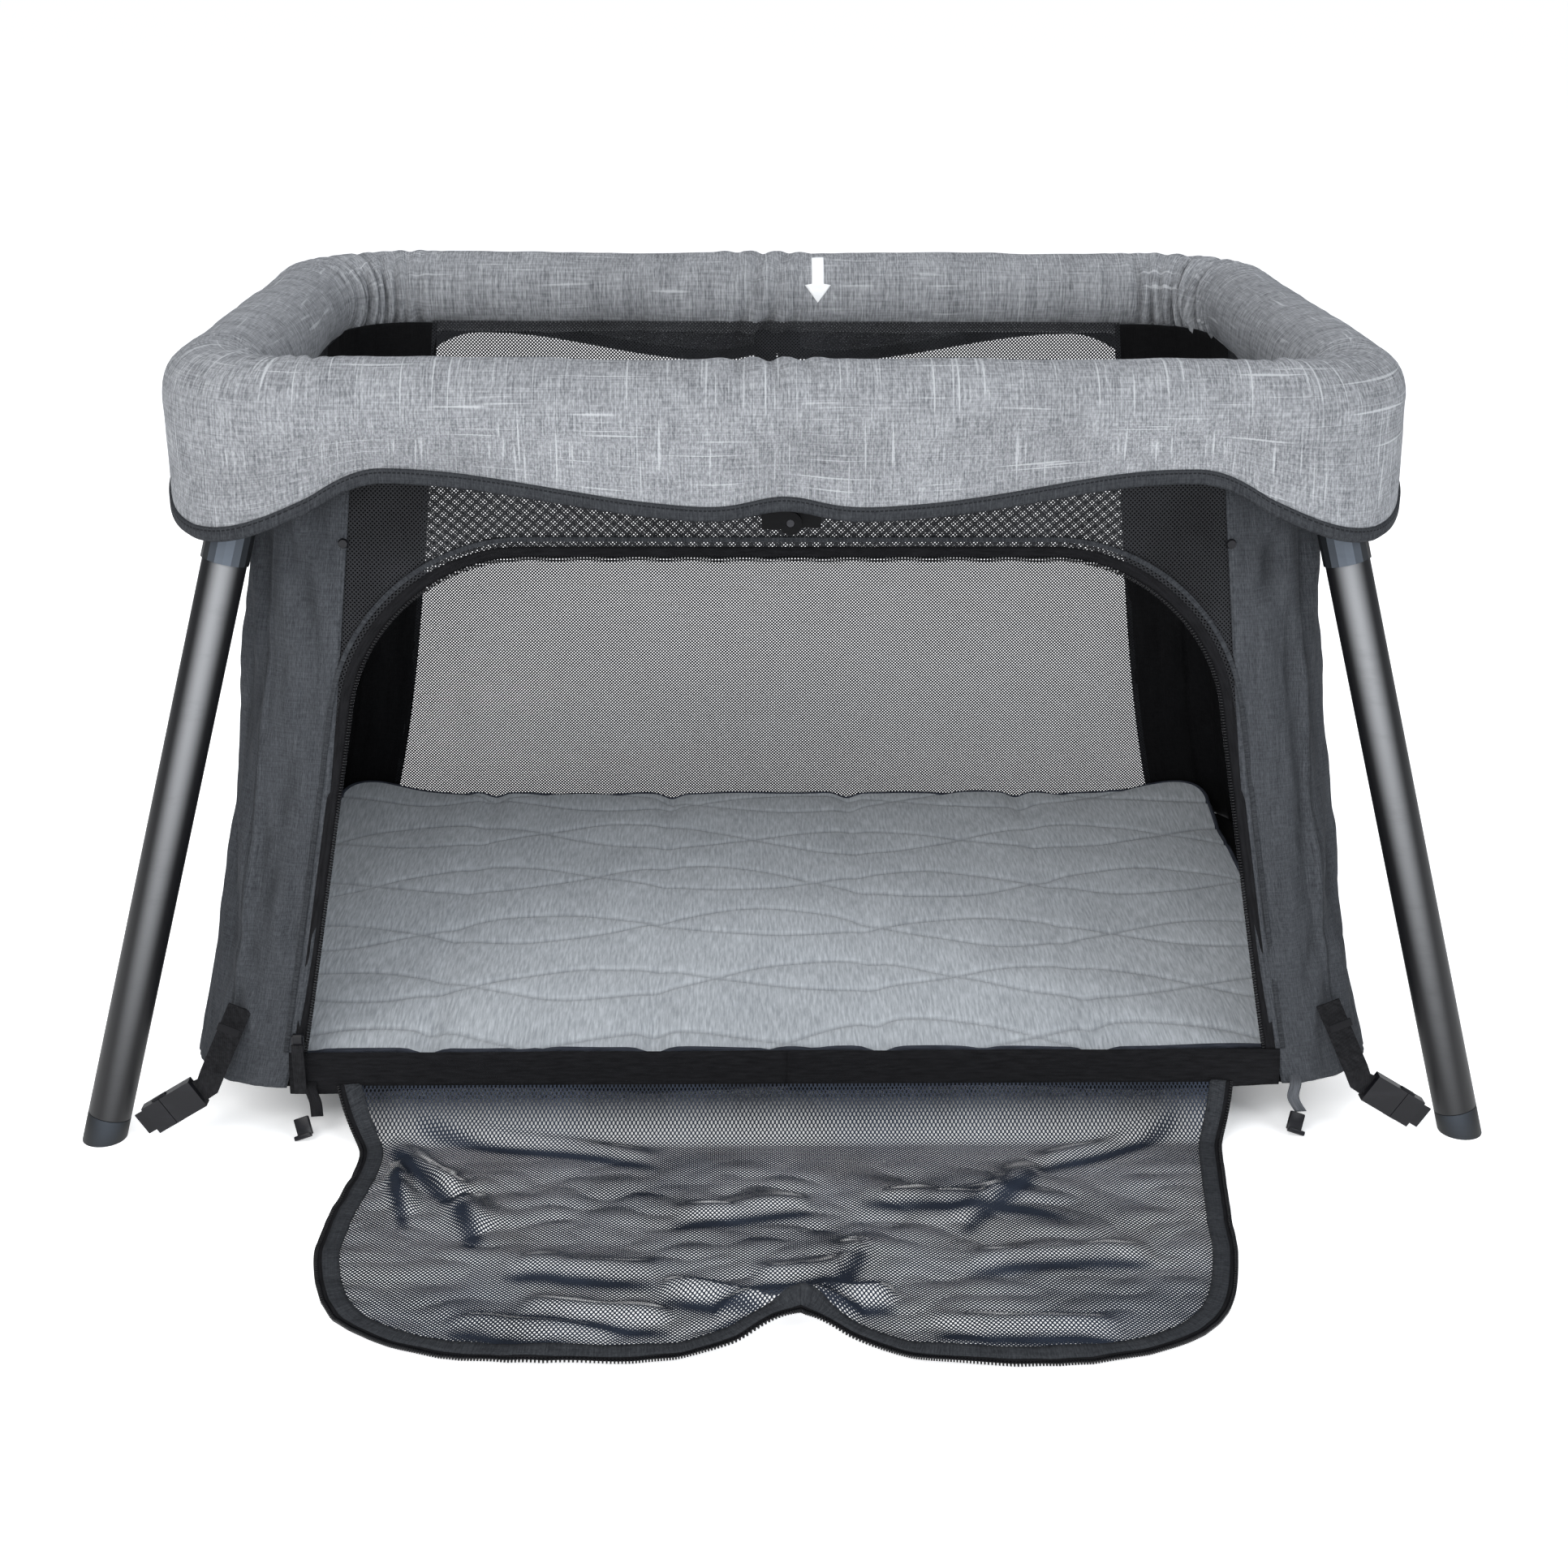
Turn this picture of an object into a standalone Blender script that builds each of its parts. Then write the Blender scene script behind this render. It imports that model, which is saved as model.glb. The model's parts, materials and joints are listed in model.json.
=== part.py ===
"""A folding travel playpen: padded rail, splayed legs, fabric sling and a zip door.

Metres, +Z up, the door towards -Y. The origin is under the middle of the whole
object, on the floor, with the open door counted in.
"""
import math

import bmesh
import bpy
from mathutils import Matrix, Vector

# Overall sizes, over the padding
overall_height = 0.64
rail_length = 0.98
rail_depth = 0.67

# Padded rail and its skirts
roll_radius = 0.038
skirt_thickness = 0.0025
padding_notch = 0.0192
inner_skirt_drop = 0.042
hem_middle_drop = 0.075
hem_high_drop = 0.040
hem_corner_drop = 0.092
hem_high_x = 0.30
hem_low_x = 0.425
hem_high_y = 0.13
hem_low_y = 0.27
notch_headroom = 0.005
notch_shoulder = -0.006
rail_corner_radius = 0.092

# Tubes
rail_tube_radius = 0.0125
leg_tube_radius = 0.0175
tube_wall = 0.0015

# Legs
foot_span_x = 1.136
foot_span_y = 0.67
pivot_drop = 0.061
fold_lean = 0.075
fold_drop = 0.10

# Leg knuckle, corner bracket and pin
knuckle_radius = 0.019
knuckle_length = 0.028
knuckle_top = 0.036
knuckle_lip = 0.002
tube_head_gap = 0.004
tongue_thickness = 0.010
tongue_radius = 0.012
bracket_half_out = 0.0185
bracket_half_along = 0.024
bracket_chin = 0.014
bracket_seat = 0.006
slot_headroom = 0.0015
leg_pin_half = 0.018
leg_pin_radius = 0.004
foot_cap_height = 0.022
foot_plug = 0.025

# Middle hinges of the long rails
hinge_drop = 0.085
hinge_block_length = 0.060
hinge_block_half_y = 0.0165
hinge_block_reach = 0.0165
hinge_block_chin = 0.016
hinge_socket_end = 0.010
hinge_eye_radius = 0.009
hinge_tongue_half = 0.0055
hinge_ear_thickness = 0.0045
hinge_pin_radius = 0.003
hinge_plate_half = 0.022
hinge_pin_recess = 0.0005
button_place_share = 0.65
lock_button_radius = 0.006
lock_button_inside = 0.006
lock_button_outside = 0.007
lock_button_travel = 0.004

# Sling: half sizes of its plan, which spread towards the floor
sling_top_x = 0.425
sling_top_y = 0.266
sling_spread_x = 0.056
sling_spread_y = 0.038
sling_flare_x = 0.022
sling_flare_y = 0.016
sling_top_z = 0.556
sling_bottom_z = 0.040
sling_radius = 0.080
wall_thickness = 0.0025
floor_thickness = 0.003
corner_panel_side = 0.060
panel_seam_share = 0.0008

# Door opening and door
arch_half_width = 0.402
arch_top_half_width = 0.330
arch_height = 0.415
arch_corner = 0.120
sill_height = 0.026
door_gap = 0.004
door_thickness = 0.0035
door_slack = 0.018
door_turn_share = 1.35
door_turn_end = 0.055

# Mattress
mattress_thickness = 0.024
mattress_margin = 0.020
mattress_corner = 0.060
mattress_edge_share = 0.3

# Foot straps and buckles
strap_width = 0.020
strap_thickness = 0.0016
buckle_width = 0.026
buckle_thickness = 0.010
socket_length = 0.030
plug_length = 0.018
plug_tongue = 0.014
buckle_lean_deg = 32.0
strap_foot_gap = 0.015
strap_foot_length = 0.010
strap_turn = 0.009
strap_set_out = 0.002
strap_corner_share = 1.35
strap_top_z = 0.105
strap_stand_off = 0.010
plug_neck = 0.005
plug_taper = 0.002
plug_step = 0.0005

# Zip slider
slider_width = 0.010
slider_length = 0.016
slider_thickness = 0.006
pull_width = 0.010
pull_length = 0.045
pull_thickness = 0.0016
slider_stand_off = 0.001
slider_set_out = 0.002
slider_edge = 0.0015

clearance = 0.0003
overlap = 0.002
skin_step = 0.00005
cutter_reach = 0.05
sides = 14
arc_steps = 6
guide_look = ((0.5, 0.5, 0.5), 0.5)
plastic_look = ((0.03, 0.03, 0.035), 0.5)
steel_look = ((0.6, 0.6, 0.62), 0.3, 1.0)
collar_look = ((0.05, 0.055, 0.07), 0.45)

# Places that follow from the sizes
rail_z = overall_height - roll_radius
rail_x = rail_length / 2 - roll_radius
rail_y = rail_depth / 2 - roll_radius
pivot_x = rail_x - rail_corner_radius * (1 - math.cos(math.pi / 4))
pivot_y = rail_y - rail_corner_radius * (1 - math.cos(math.pi / 4))
pivot_z = rail_z - pivot_drop
hinge_z = rail_z - hinge_drop
mattress_z = sling_bottom_z + floor_thickness / 2 + clearance


def sling_half(top, spread, flare, z):
    """Half size of the sling at height z: it widens steadily, then flares at the floor."""
    fall = (sling_top_z - z) / (sling_top_z - sling_bottom_z)
    return top + spread * fall + flare * fall ** 4


def sling_half_x(z):
    return sling_half(sling_top_x, sling_spread_x, sling_flare_x, z)


def sling_half_y(z):
    return sling_half(sling_top_y, sling_spread_y, sling_flare_y, z)


sill_z = sling_bottom_z + sill_height
sill_y = -sling_half_y(sling_bottom_z) - wall_thickness / 2 - door_gap
door_fall = sling_bottom_z - door_thickness / 2
door_reach = -sill_y + arch_height - door_fall - door_slack
back_reach = foot_span_y / 2 + leg_tube_radius * 1.03
y_shift = (door_reach - back_reach) / 2


def clear_scene():
    for item in list(bpy.data.objects):
        bpy.data.objects.remove(item, do_unlink=True)


def make_material(name, colour, roughness, metallic=0.0):
    material = bpy.data.materials.new(name)
    material.use_nodes = True
    shader = material.node_tree.nodes["Principled BSDF"]
    shader.inputs["Base Color"].default_value = (*colour, 1.0)
    shader.inputs["Roughness"].default_value = roughness
    shader.inputs["Metallic"].default_value = metallic
    return material


def add_object(name, bm, look, parent=None, matrix=None):
    """Turn a bmesh into a named object with its own material."""
    bmesh.ops.recalc_face_normals(bm, faces=bm.faces)
    mesh = bpy.data.meshes.new(name)
    bm.to_mesh(mesh)
    bm.free()
    item = bpy.data.objects.new(name, mesh)
    bpy.context.scene.collection.objects.link(item)
    mesh.materials.append(make_material(name, *look))
    if parent:
        item.parent = parent
    if matrix:
        item.matrix_local = matrix
    return item


def add_empty(name, matrix):
    item = bpy.data.objects.new(name, None)
    item.empty_display_size = 0.03
    item.matrix_world = matrix
    bpy.context.scene.collection.objects.link(item)
    return item


def cut(item, cutter):
    """Subtract a cutter that stays in the file as a wire guide."""
    cutter.hide_render = True
    cutter.display_type = "WIRE"
    change = item.modifiers.new("cut " + cutter.name, "BOOLEAN")
    change.operation = "DIFFERENCE"
    change.solver = "EXACT"
    change.object = cutter


def join(item, tool):
    """Unite a guide body with the item."""
    tool.hide_render = True
    tool.display_type = "WIRE"
    change = item.modifiers.new("join " + tool.name, "BOOLEAN")
    change.operation = "UNION"
    change.solver = "EXACT"
    change.object = tool


def smooth(item, angle=40):
    item.data.shade_smooth()
    item.data.set_sharp_from_angle(angle=math.radians(angle))


def loft(rings, strip=False):
    """Skin a list of closed point rings. The end caps are flat, or for a thin panel a strip of quads."""
    bm = bmesh.new()
    made = [[bm.verts.new(point) for point in ring] for ring in rings]
    for lower, upper in zip(made, made[1:]):
        for i in range(len(lower)):
            j = (i + 1) % len(lower)
            bm.faces.new((lower[i], lower[j], upper[j], upper[i]))
    for ring in (made[0], made[-1]):
        if not strip:
            bm.faces.new(ring)
            continue
        for i in range(len(ring) // 2 - 1):
            bm.faces.new((ring[i], ring[i + 1], ring[-2 - i], ring[-1 - i]))
    return bm


def box(low, high):
    bm = bmesh.new()
    bmesh.ops.create_cube(bm, size=1.0)
    size = Vector(high) - Vector(low)
    bmesh.ops.scale(bm, vec=size, verts=bm.verts)
    bmesh.ops.translate(bm, vec=Vector(low) + size / 2, verts=bm.verts)
    return bm


def turned(profile, steps=20):
    """Spin a profile of (radius, height) about Z; it starts and ends on the axis."""
    bm = bmesh.new()
    verts = [bm.verts.new((radius, 0, height)) for radius, height in profile]
    edges = [bm.edges.new(pair) for pair in zip(verts, verts[1:])]
    bmesh.ops.spin(bm, geom=verts + edges, cent=(0, 0, 0), axis=(0, 0, 1),
                   angle=2 * math.pi, steps=steps, use_merge=True)
    bmesh.ops.remove_doubles(bm, verts=bm.verts, dist=0.00001)
    return bm


def rod(radius, low, high, axis="Z", steps=16):
    """A solid round bar along one axis, between two places on it."""
    bm = turned([(0, low), (radius, low), (radius, high), (0, high)], steps)
    turn = {"X": Matrix.Rotation(math.pi / 2, 4, "Y"), "Y": Matrix.Rotation(-math.pi / 2, 4, "X"),
            "Z": Matrix.Identity(4)}[axis]
    bmesh.ops.transform(bm, matrix=turn, verts=bm.verts)
    return bm


def circle(radius, count=sides):
    return [(radius * math.cos(2 * math.pi * i / count), radius * math.sin(2 * math.pi * i / count))
            for i in range(count)]


# Each half of the rail is a U in plan: along the front, round two corners, back along the rear

def rail_path(side, gap, straight_steps=1):
    """Points and outward directions of one half's centreline, front to back."""
    path = []
    start = gap
    turn = rail_x - rail_corner_radius
    for i in range(straight_steps):
        path.append((Vector((start + (turn - start) * i / straight_steps, -rail_y)), Vector((0, -1))))
    inset = rail_y - rail_corner_radius
    for corner, base in (((turn, -inset), -90), ((turn, inset), 0)):
        for i in range(arc_steps + 1):
            angle = math.radians(base + 90 * i / arc_steps)
            out = Vector((math.cos(angle), math.sin(angle)))
            path.append((Vector(corner) + out * rail_corner_radius, out))
    for i in range(straight_steps):
        path.append((Vector((turn + (start - turn) * (i + 1) / straight_steps, rail_y)), Vector((0, 1))))
    return [(Vector((side * point.x, point.y + y_shift)), Vector((side * out.x, out.y)))
            for point, out in path]


def rail_rings(side, gap, section, straight_steps=1):
    """Rings of a section, given as (out, up) pairs, along one half of the rail."""
    rings = []
    for point, out in rail_path(side, gap, straight_steps):
        shape = section(point, out)
        rings.append([(point.x + out.x * reach, point.y + out.y * reach, rail_z + up) for reach, up in shape])
    return rings


def hollow_sweep(outer_rings, inner_rings):
    """A tube skinned from outer and inner rings, open at both ends."""
    bm = bmesh.new()
    outer = [[bm.verts.new(point) for point in ring] for ring in outer_rings]
    inner = [[bm.verts.new(point) for point in ring] for ring in inner_rings]
    count = len(outer[0])
    for rings in (outer, inner):
        for lower, upper in zip(rings, rings[1:]):
            for i in range(count):
                j = (i + 1) % count
                bm.faces.new((lower[i], lower[j], upper[j], upper[i]))
    for end in (0, -1):
        for i in range(count):
            j = (i + 1) % count
            bm.faces.new((outer[end][i], outer[end][j], inner[end][j], inner[end][i]))
    return bm


def ease(share):
    """A soft ramp from 0 to 1."""
    share = min(max(share, 0), 1)
    return 0.5 - 0.5 * math.cos(math.pi * share)


def hem_drop(point, out):
    """How far the outer skirt hangs below the rail's centre: low at the corners, wavy between."""
    on_long_side = abs(out.y) > 0.7
    along = abs(point.x) if on_long_side else abs(point.y - y_shift)
    high, low = (hem_high_x, hem_low_x) if on_long_side else (hem_high_y, hem_low_y)
    if along > high:
        return hem_high_drop + (hem_corner_drop - hem_high_drop) * ease((along - high) / (low - high))
    middle = hem_middle_drop if on_long_side else hem_high_drop
    return middle + (hem_high_drop - middle) * ease(along / high)


def cover_section(point, out):
    """A padded roll over the tube with an inner and an outer skirt, open underneath."""
    inside = roll_radius - skirt_thickness
    notch_z = rail_tube_radius + notch_headroom
    shoulder = notch_shoulder
    hem = -hem_drop(point, out)
    turns = [math.pi * i / 8 for i in range(9)]
    roll = [(roll_radius * math.cos(turn), roll_radius * math.sin(turn)) for turn in turns]
    return ([(roll_radius, hem)] + roll + [(-roll_radius, -inner_skirt_drop), (-inside, -inner_skirt_drop),
            (-inside, shoulder), (-padding_notch, shoulder), (-padding_notch, notch_z),
            (padding_notch, notch_z), (padding_notch, shoulder), (inside, shoulder), (inside, hem)])


def make_rail_half(name, side):
    tube_gap = hinge_socket_end
    ring = circle(rail_tube_radius)
    bore = circle(rail_tube_radius - tube_wall)
    outer = rail_rings(side, tube_gap, lambda *_: ring)
    inner = rail_rings(side, tube_gap, lambda *_: bore)
    bm = hollow_sweep(outer, inner)
    smooth(add_object("rail_tube_" + name, bm, ((0.03, 0.03, 0.032), 0.35, 0.6)))
    cover = loft(rail_rings(side, clearance * 2, cover_section, 8))
    smooth(add_object("rail_cover_" + name, cover, ((0.38, 0.39, 0.41), 0.9)))


def make_tube_cutter(name, side):
    """The rail tube with its running clearance, used to seat what holds it."""
    ring = circle(rail_tube_radius + clearance)
    bm = loft(rail_rings(side, hinge_socket_end - clearance, lambda *_: ring))
    return add_object("rail_bore_" + name, bm, guide_look)


# Legs: every piece is modelled about the leg's pivot, X along the pin, -Z down the leg

def leg_frame(side_x, side_y, outward):
    """The leg's matrix and length: X along its pin, -Z down it. Folded, it lies along the short side."""
    pivot = Vector((side_x * pivot_x, side_y * pivot_y + y_shift, pivot_z))
    foot = Vector((side_x * foot_span_x / 2, side_y * foot_span_y / 2 + y_shift, 0))
    down = (foot - pivot).normalized()
    lean = side_x * fold_lean * (1 if outward else -1)
    folded = Vector((lean, -side_y, -fold_drop)).normalized()
    pin = down.cross(folded).normalized()
    matrix = Matrix.Identity(4)
    for column, axis in enumerate((pin, (-down).cross(pin), -down)):
        for row in range(3):
            matrix[row][column] = axis[row]
    matrix.translation = pivot
    return matrix, (foot - pivot).length


def make_leg(name, matrix, length, facing, tube_cutter):
    """Tube, knuckle, pin, bracket and foot cap of one leg; facing turns the bracket square to the rail."""
    pivot = add_empty("pivot_" + name, matrix)
    floor_point = Vector((0, 0, -length))
    floor_normal = matrix.to_3x3().transposed() @ Vector((0, 0, -1))

    top = -knuckle_top - tube_head_gap
    bottom = -length + foot_cap_height
    outer = [[(x, y, z) for x, y in circle(leg_tube_radius, 18)] for z in (top, bottom)]
    inner = [[(x, y, z) for x, y in circle(leg_tube_radius - tube_wall, 18)] for z in (top, bottom)]
    tube = add_object("leg_tube_" + name, hollow_sweep(outer, inner), ((0.01, 0.01, 0.012), 0.28, 0.7), pivot)
    smooth(tube)

    seat = leg_tube_radius + clearance
    low = -knuckle_top - knuckle_length
    roof = top + clearance
    knuckle = add_object("leg_knuckle_" + name, turned([
        (0, -knuckle_top), (knuckle_radius - knuckle_lip, -knuckle_top),
        (knuckle_radius, -knuckle_top - knuckle_lip), (knuckle_radius, low), (seat, low), (seat, roof),
        (0, roof)], 18), collar_look, pivot)
    half = tongue_thickness / 2
    neck = add_object("tongue_" + name,
                      box((-half, -tongue_radius, -knuckle_top - overlap), (half, tongue_radius, 0)),
                      collar_look, pivot)
    eye = add_object("tongue_eye_" + name, rod(tongue_radius, skin_step - half, half - skin_step, "X", 20),
                     collar_look, pivot)
    bore_rod = rod(leg_pin_radius + clearance, -cutter_reach, cutter_reach, "X", 12)
    pin_bore = add_object("pin_bore_" + name, bore_rod, guide_look, pivot)
    join(knuckle, neck)
    join(knuckle, eye)
    cut(knuckle, pin_bore)
    smooth(knuckle)

    pin_rod = rod(leg_pin_radius, -leg_pin_half, leg_pin_half, "X", 12)
    smooth(add_object("leg_pin_" + name, pin_rod, steel_look, pivot))

    # The bracket stands square to the rail's corner, and its slot is square to the pin
    seat_place = Matrix.Translation(matrix.to_translation()) @ Matrix.Rotation(facing, 4, "Z")
    bracket = add_object("corner_bracket_" + name, box(
        (-bracket_half_out, -bracket_half_along, -bracket_chin),
        (bracket_half_out, bracket_half_along, pivot_drop - bracket_seat)), plastic_look, None, seat_place)
    slot = half + clearance
    gap = box((-slot, -cutter_reach, -cutter_reach), (slot, cutter_reach, tongue_radius + slot_headroom))
    cut(bracket, add_object("slot_" + name, gap, guide_look, pivot))
    cut(bracket, pin_bore)
    cut(bracket, tube_cutter)

    # The cap is flush with the tube, with a plug inside it. It is turned past the floor, then sliced level
    past = -length - cutter_reach / 2
    shoulder = bottom - clearance
    plug = leg_tube_radius - tube_wall - clearance
    plug_top = bottom + foot_plug
    cap = turned([(0, past), (leg_tube_radius, past), (leg_tube_radius, shoulder), (plug, shoulder),
                  (plug, plug_top), (0, plug_top)], 18)
    everything = cap.verts[:] + cap.edges[:] + cap.faces[:]
    sliced = bmesh.ops.bisect_plane(cap, geom=everything, plane_co=floor_point, plane_no=floor_normal,
                                    clear_outer=True)
    rim = [part for part in sliced["geom_cut"] if isinstance(part, bmesh.types.BMEdge)]
    bmesh.ops.contextual_create(cap, geom=rim)
    smooth(add_object("foot_cap_" + name, cap, ((0.02, 0.02, 0.022), 0.55), pivot))


# Middle hinges: the left block carries two ears, the right block a tongue between them

def make_middle_hinge(name, side_y, tube_cutters):
    """Two blocks on the rail tube, with eyes on one pin below the padding, and the button that frees them."""
    centre = add_empty("hinge_" + name, Matrix.Translation((0, side_y * rail_y + y_shift, hinge_z)))
    low = hinge_drop - rail_tube_radius - hinge_block_chin
    high = hinge_drop + hinge_block_reach
    wide = hinge_block_half_y
    bore_rod = rod(hinge_pin_radius + clearance, -cutter_reach, cutter_reach, "Y", 12)
    bore = add_object("hinge_bore_" + name, bore_rod, guide_look, centre)
    ear_in = hinge_tongue_half + clearance
    ear_out = ear_in + hinge_ear_thickness
    for side, label in ((-1, "left"), (1, "right")):
        near, far = sorted((side * clearance, side * hinge_block_length))
        body = box((near, -wide, low), (far, wide, high))
        block = add_object("middle_hinge_{}_{}".format(label, name), body, plastic_look, centre)
        spans = ((-hinge_tongue_half, hinge_tongue_half),)
        if side < 0:
            spans = ((-ear_out, -ear_in), (ear_in, ear_out))
        # The tongue's plate starts a little off the pin's centre, so it clears the ears' block
        shift = hinge_eye_radius * 0.2 if side > 0 else 0
        inner, outer = sorted((0, side * hinge_plate_half))
        for number, (y_low, y_high) in enumerate(spans):
            tag = "{}_{}_{}".format(label, name, number)
            plate = box((inner + shift, y_low, -hinge_eye_radius / 2), (outer + shift, y_high, low + 2 * overlap))
            eye = rod(hinge_eye_radius, y_low + skin_step, y_high - skin_step, "Y", 18)
            join(block, add_object("plate_" + tag, plate, plastic_look, centre))
            join(block, add_object("eye_" + tag, eye, plastic_look, centre))
        cut(block, bore)
        cut(block, tube_cutters[label])
    reach = ear_out - hinge_pin_recess
    smooth(add_object("hinge_pin_" + name, rod(hinge_pin_radius, -reach, reach, "Y", 12), steel_look, centre))
    place = Matrix.Translation((-hinge_block_length * button_place_share, 0, low))
    button = rod(lock_button_radius, -lock_button_outside, lock_button_inside)
    smooth(add_object("lock_button_" + name, button, ((0.25, 0.26, 0.28), 0.45), centre, place))
    depth = lock_button_inside + lock_button_travel + clearance
    button_bore = rod(lock_button_radius + clearance, -cutter_reach / 2, depth)
    cut(bpy.data.objects["middle_hinge_left_" + name],
        add_object("button_bore_" + name, button_bore, guide_look, centre, place))


# Sling: walls follow a rounded rectangle that spreads towards the floor

def sling_point(share, z, offset=0.0):
    """A point on the sling's right half at height z. share runs 0 to 5: front, corner, end, corner, back."""
    half_x = sling_half_x(z) + offset
    half_y = sling_half_y(z) + offset
    radius = sling_radius + offset
    straight_x = half_x - radius
    straight_y = half_y - radius
    stage = min(int(share), 4)
    t = share - stage
    if stage == 0:
        return Vector((straight_x * t, -half_y, z))
    if stage == 2:
        return Vector((half_x, -straight_y + 2 * straight_y * t, z))
    if stage == 4:
        return Vector((straight_x * (1 - t), half_y, z))
    angle = math.radians((-90 if stage == 1 else 0) + 90 * t)
    centre_y = -straight_y if stage == 1 else straight_y
    return Vector((straight_x + radius * math.cos(angle), centre_y + radius * math.sin(angle), z))


def wall_panel(name, side, shares, levels, look):
    """A thin curved panel between the first and last share, one closed body."""
    half = wall_thickness / 2
    rings = []
    for share in shares:
        outer = [sling_point(share, z, half) for z in levels]
        inner = [sling_point(share, z, -half) for z in reversed(levels)]
        rings.append([(side * p.x, p.y + y_shift, p.z) for p in outer + inner])
    panel = add_object(name, loft(rings, strip=True), look)
    smooth(panel)
    return panel


def arch_half(height):
    """Half width of the door's arch at a height above its foot."""
    height = min(height, arch_height)
    width = arch_half_width - (arch_half_width - arch_top_half_width) * height / arch_height
    rise = height - (arch_height - arch_corner)
    if rise > 0:
        width -= arch_corner - math.sqrt(max(arch_corner ** 2 - rise ** 2, 0))
    return width


def arch_outline(grow=0.0, steps=8):
    """The arch as (x, height) points from its left foot over the top to its right foot."""
    heights = [0.0, (arch_height - arch_corner) / 2, arch_height - arch_corner]
    heights += [arch_height - arch_corner + arch_corner * math.sin(math.pi / 2 * i / steps)
                for i in range(1, steps + 1)]
    right = [(arch_half(height) + grow, height) for height in heights]
    return [(-x, height) for x, height in right] + [(x, height) for x, height in reversed(right)]


def make_sling():
    mesh_look = ((0.02, 0.021, 0.023), 0.8)
    panel_look = ((0.075, 0.08, 0.09), 0.9)
    levels = [sling_bottom_z + (sling_top_z - sling_bottom_z) * i / 8 for i in range(9)]
    seam = panel_seam_share
    side_end = corner_panel_side / (2 * (sling_top_y - sling_radius))
    corner = [i / arc_steps for i in range(arc_steps + 1)]
    front_corner = [1 + i for i in corner] + [2 + side_end]
    back_corner = [3 - side_end] + [3 + i for i in corner]
    for side, label in ((-1, "left"), (1, "right")):
        wall_panel("corner_panel_front_" + label, side, front_corner, levels, panel_look)
        wall_panel("corner_panel_back_" + label, side, back_corner, levels, panel_look)
        wall_panel("mesh_end_" + label, side, [2 + side_end + seam, 3 - side_end - seam], levels, mesh_look)
        wall_panel("mesh_back_" + label, side, [4 + seam, 5 - seam], levels, mesh_look)
        front = wall_panel("mesh_front_" + label, side, [seam, 1 - seam], levels, mesh_look)
        outline = arch_outline()
        rings = [[(x, y + y_shift, sill_z + height) for x, height in outline]
                 for y in (-sling_half_y(sling_bottom_z) - cutter_reach, cutter_reach - sling_top_y)]
        cut(front, add_object("arch_" + label, loft(rings), guide_look))


def rounded_plan(half_x, half_y, radius, z, steps=6):
    ring = []
    for base, cx, cy in ((-90, 1, -1), (0, 1, 1), (90, -1, 1), (180, -1, -1)):
        for i in range(steps + 1):
            angle = math.radians(base + 90 * i / steps)
            ring.append((cx * (half_x - radius) + radius * math.cos(angle),
                         cy * (half_y - radius) + radius * math.sin(angle) + y_shift, z))
    return ring


def make_floor_and_mattress():
    inset = wall_thickness / 2 + 4 * clearance
    half_x = sling_half_x(sling_bottom_z) - inset
    half_y = sling_half_y(sling_bottom_z) - inset
    low = sling_bottom_z - floor_thickness / 2
    high = sling_bottom_z + floor_thickness / 2
    plan = [rounded_plan(half_x, half_y, sling_radius - inset, z) for z in (low, high)]
    add_object("floor_sheet", loft(plan), ((0.05, 0.05, 0.055), 0.85))
    half_x -= mattress_margin
    half_y -= mattress_margin
    top = mattress_z + mattress_thickness
    edge = mattress_thickness * mattress_edge_share
    plan = [rounded_plan(half_x - edge, half_y - edge, mattress_corner - edge, mattress_z),
            rounded_plan(half_x, half_y, mattress_corner, mattress_z + edge),
            rounded_plan(half_x, half_y, mattress_corner, top - edge),
            rounded_plan(half_x - edge, half_y - edge, mattress_corner - edge, top)]
    smooth(add_object("mattress", loft(plan), ((0.42, 0.44, 0.46), 0.9)), 60)


def door_place(run):
    """Place (y, z) and surface normal of the lying door at a distance run from the sill."""
    drop = door_fall * door_turn_share
    if run < drop:
        t = run / drop
        reach = (drop - door_fall) * t * t
        return -sill_y + reach, sling_bottom_z - door_fall * (1 - (1 - t) ** 2)
    share = (run - drop) / (arch_height - drop)
    start = -sill_y + drop - door_fall
    return start + (door_reach - start) * share, door_thickness / 2 + clearance


def make_door():
    """The mesh door unzipped: it hangs from the sill and lies out on the floor."""
    pivot = add_empty("door_hinge", Matrix.Translation((0, sill_y + y_shift, sling_bottom_z)))
    runs = [door_turn_end * i / 4 for i in range(4)]
    runs += [door_turn_end + (arch_height - door_turn_end) * i / 8 for i in range(9)]
    columns = 8
    rings = []
    places = [door_place(run) for run in runs]
    for index, run in enumerate(runs):
        ahead = places[min(index + 1, len(places) - 1)]
        behind = places[max(index - 1, 0)]
        along = Vector((ahead[0] - behind[0], ahead[1] - behind[1])).normalized()
        normal = Vector((-along.y, along.x)) * door_thickness / 2
        width = arch_half(run) - door_gap
        ring = []
        for sign in (1, -1):
            spots = range(columns + 1) if sign > 0 else range(columns, -1, -1)
            for i in spots:
                x = width * (2 * i / columns - 1)
                ring.append((x, -(places[index][0] + sign * normal.x + sill_y),
                             places[index][1] + sign * normal.y - sling_bottom_z))
        rings.append(ring)
    smooth(add_object("door", loft(rings), ((0.03, 0.033, 0.04), 0.8), pivot))


# Foot straps: webbing from the sling's corner to the foot, with a side-release buckle

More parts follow.
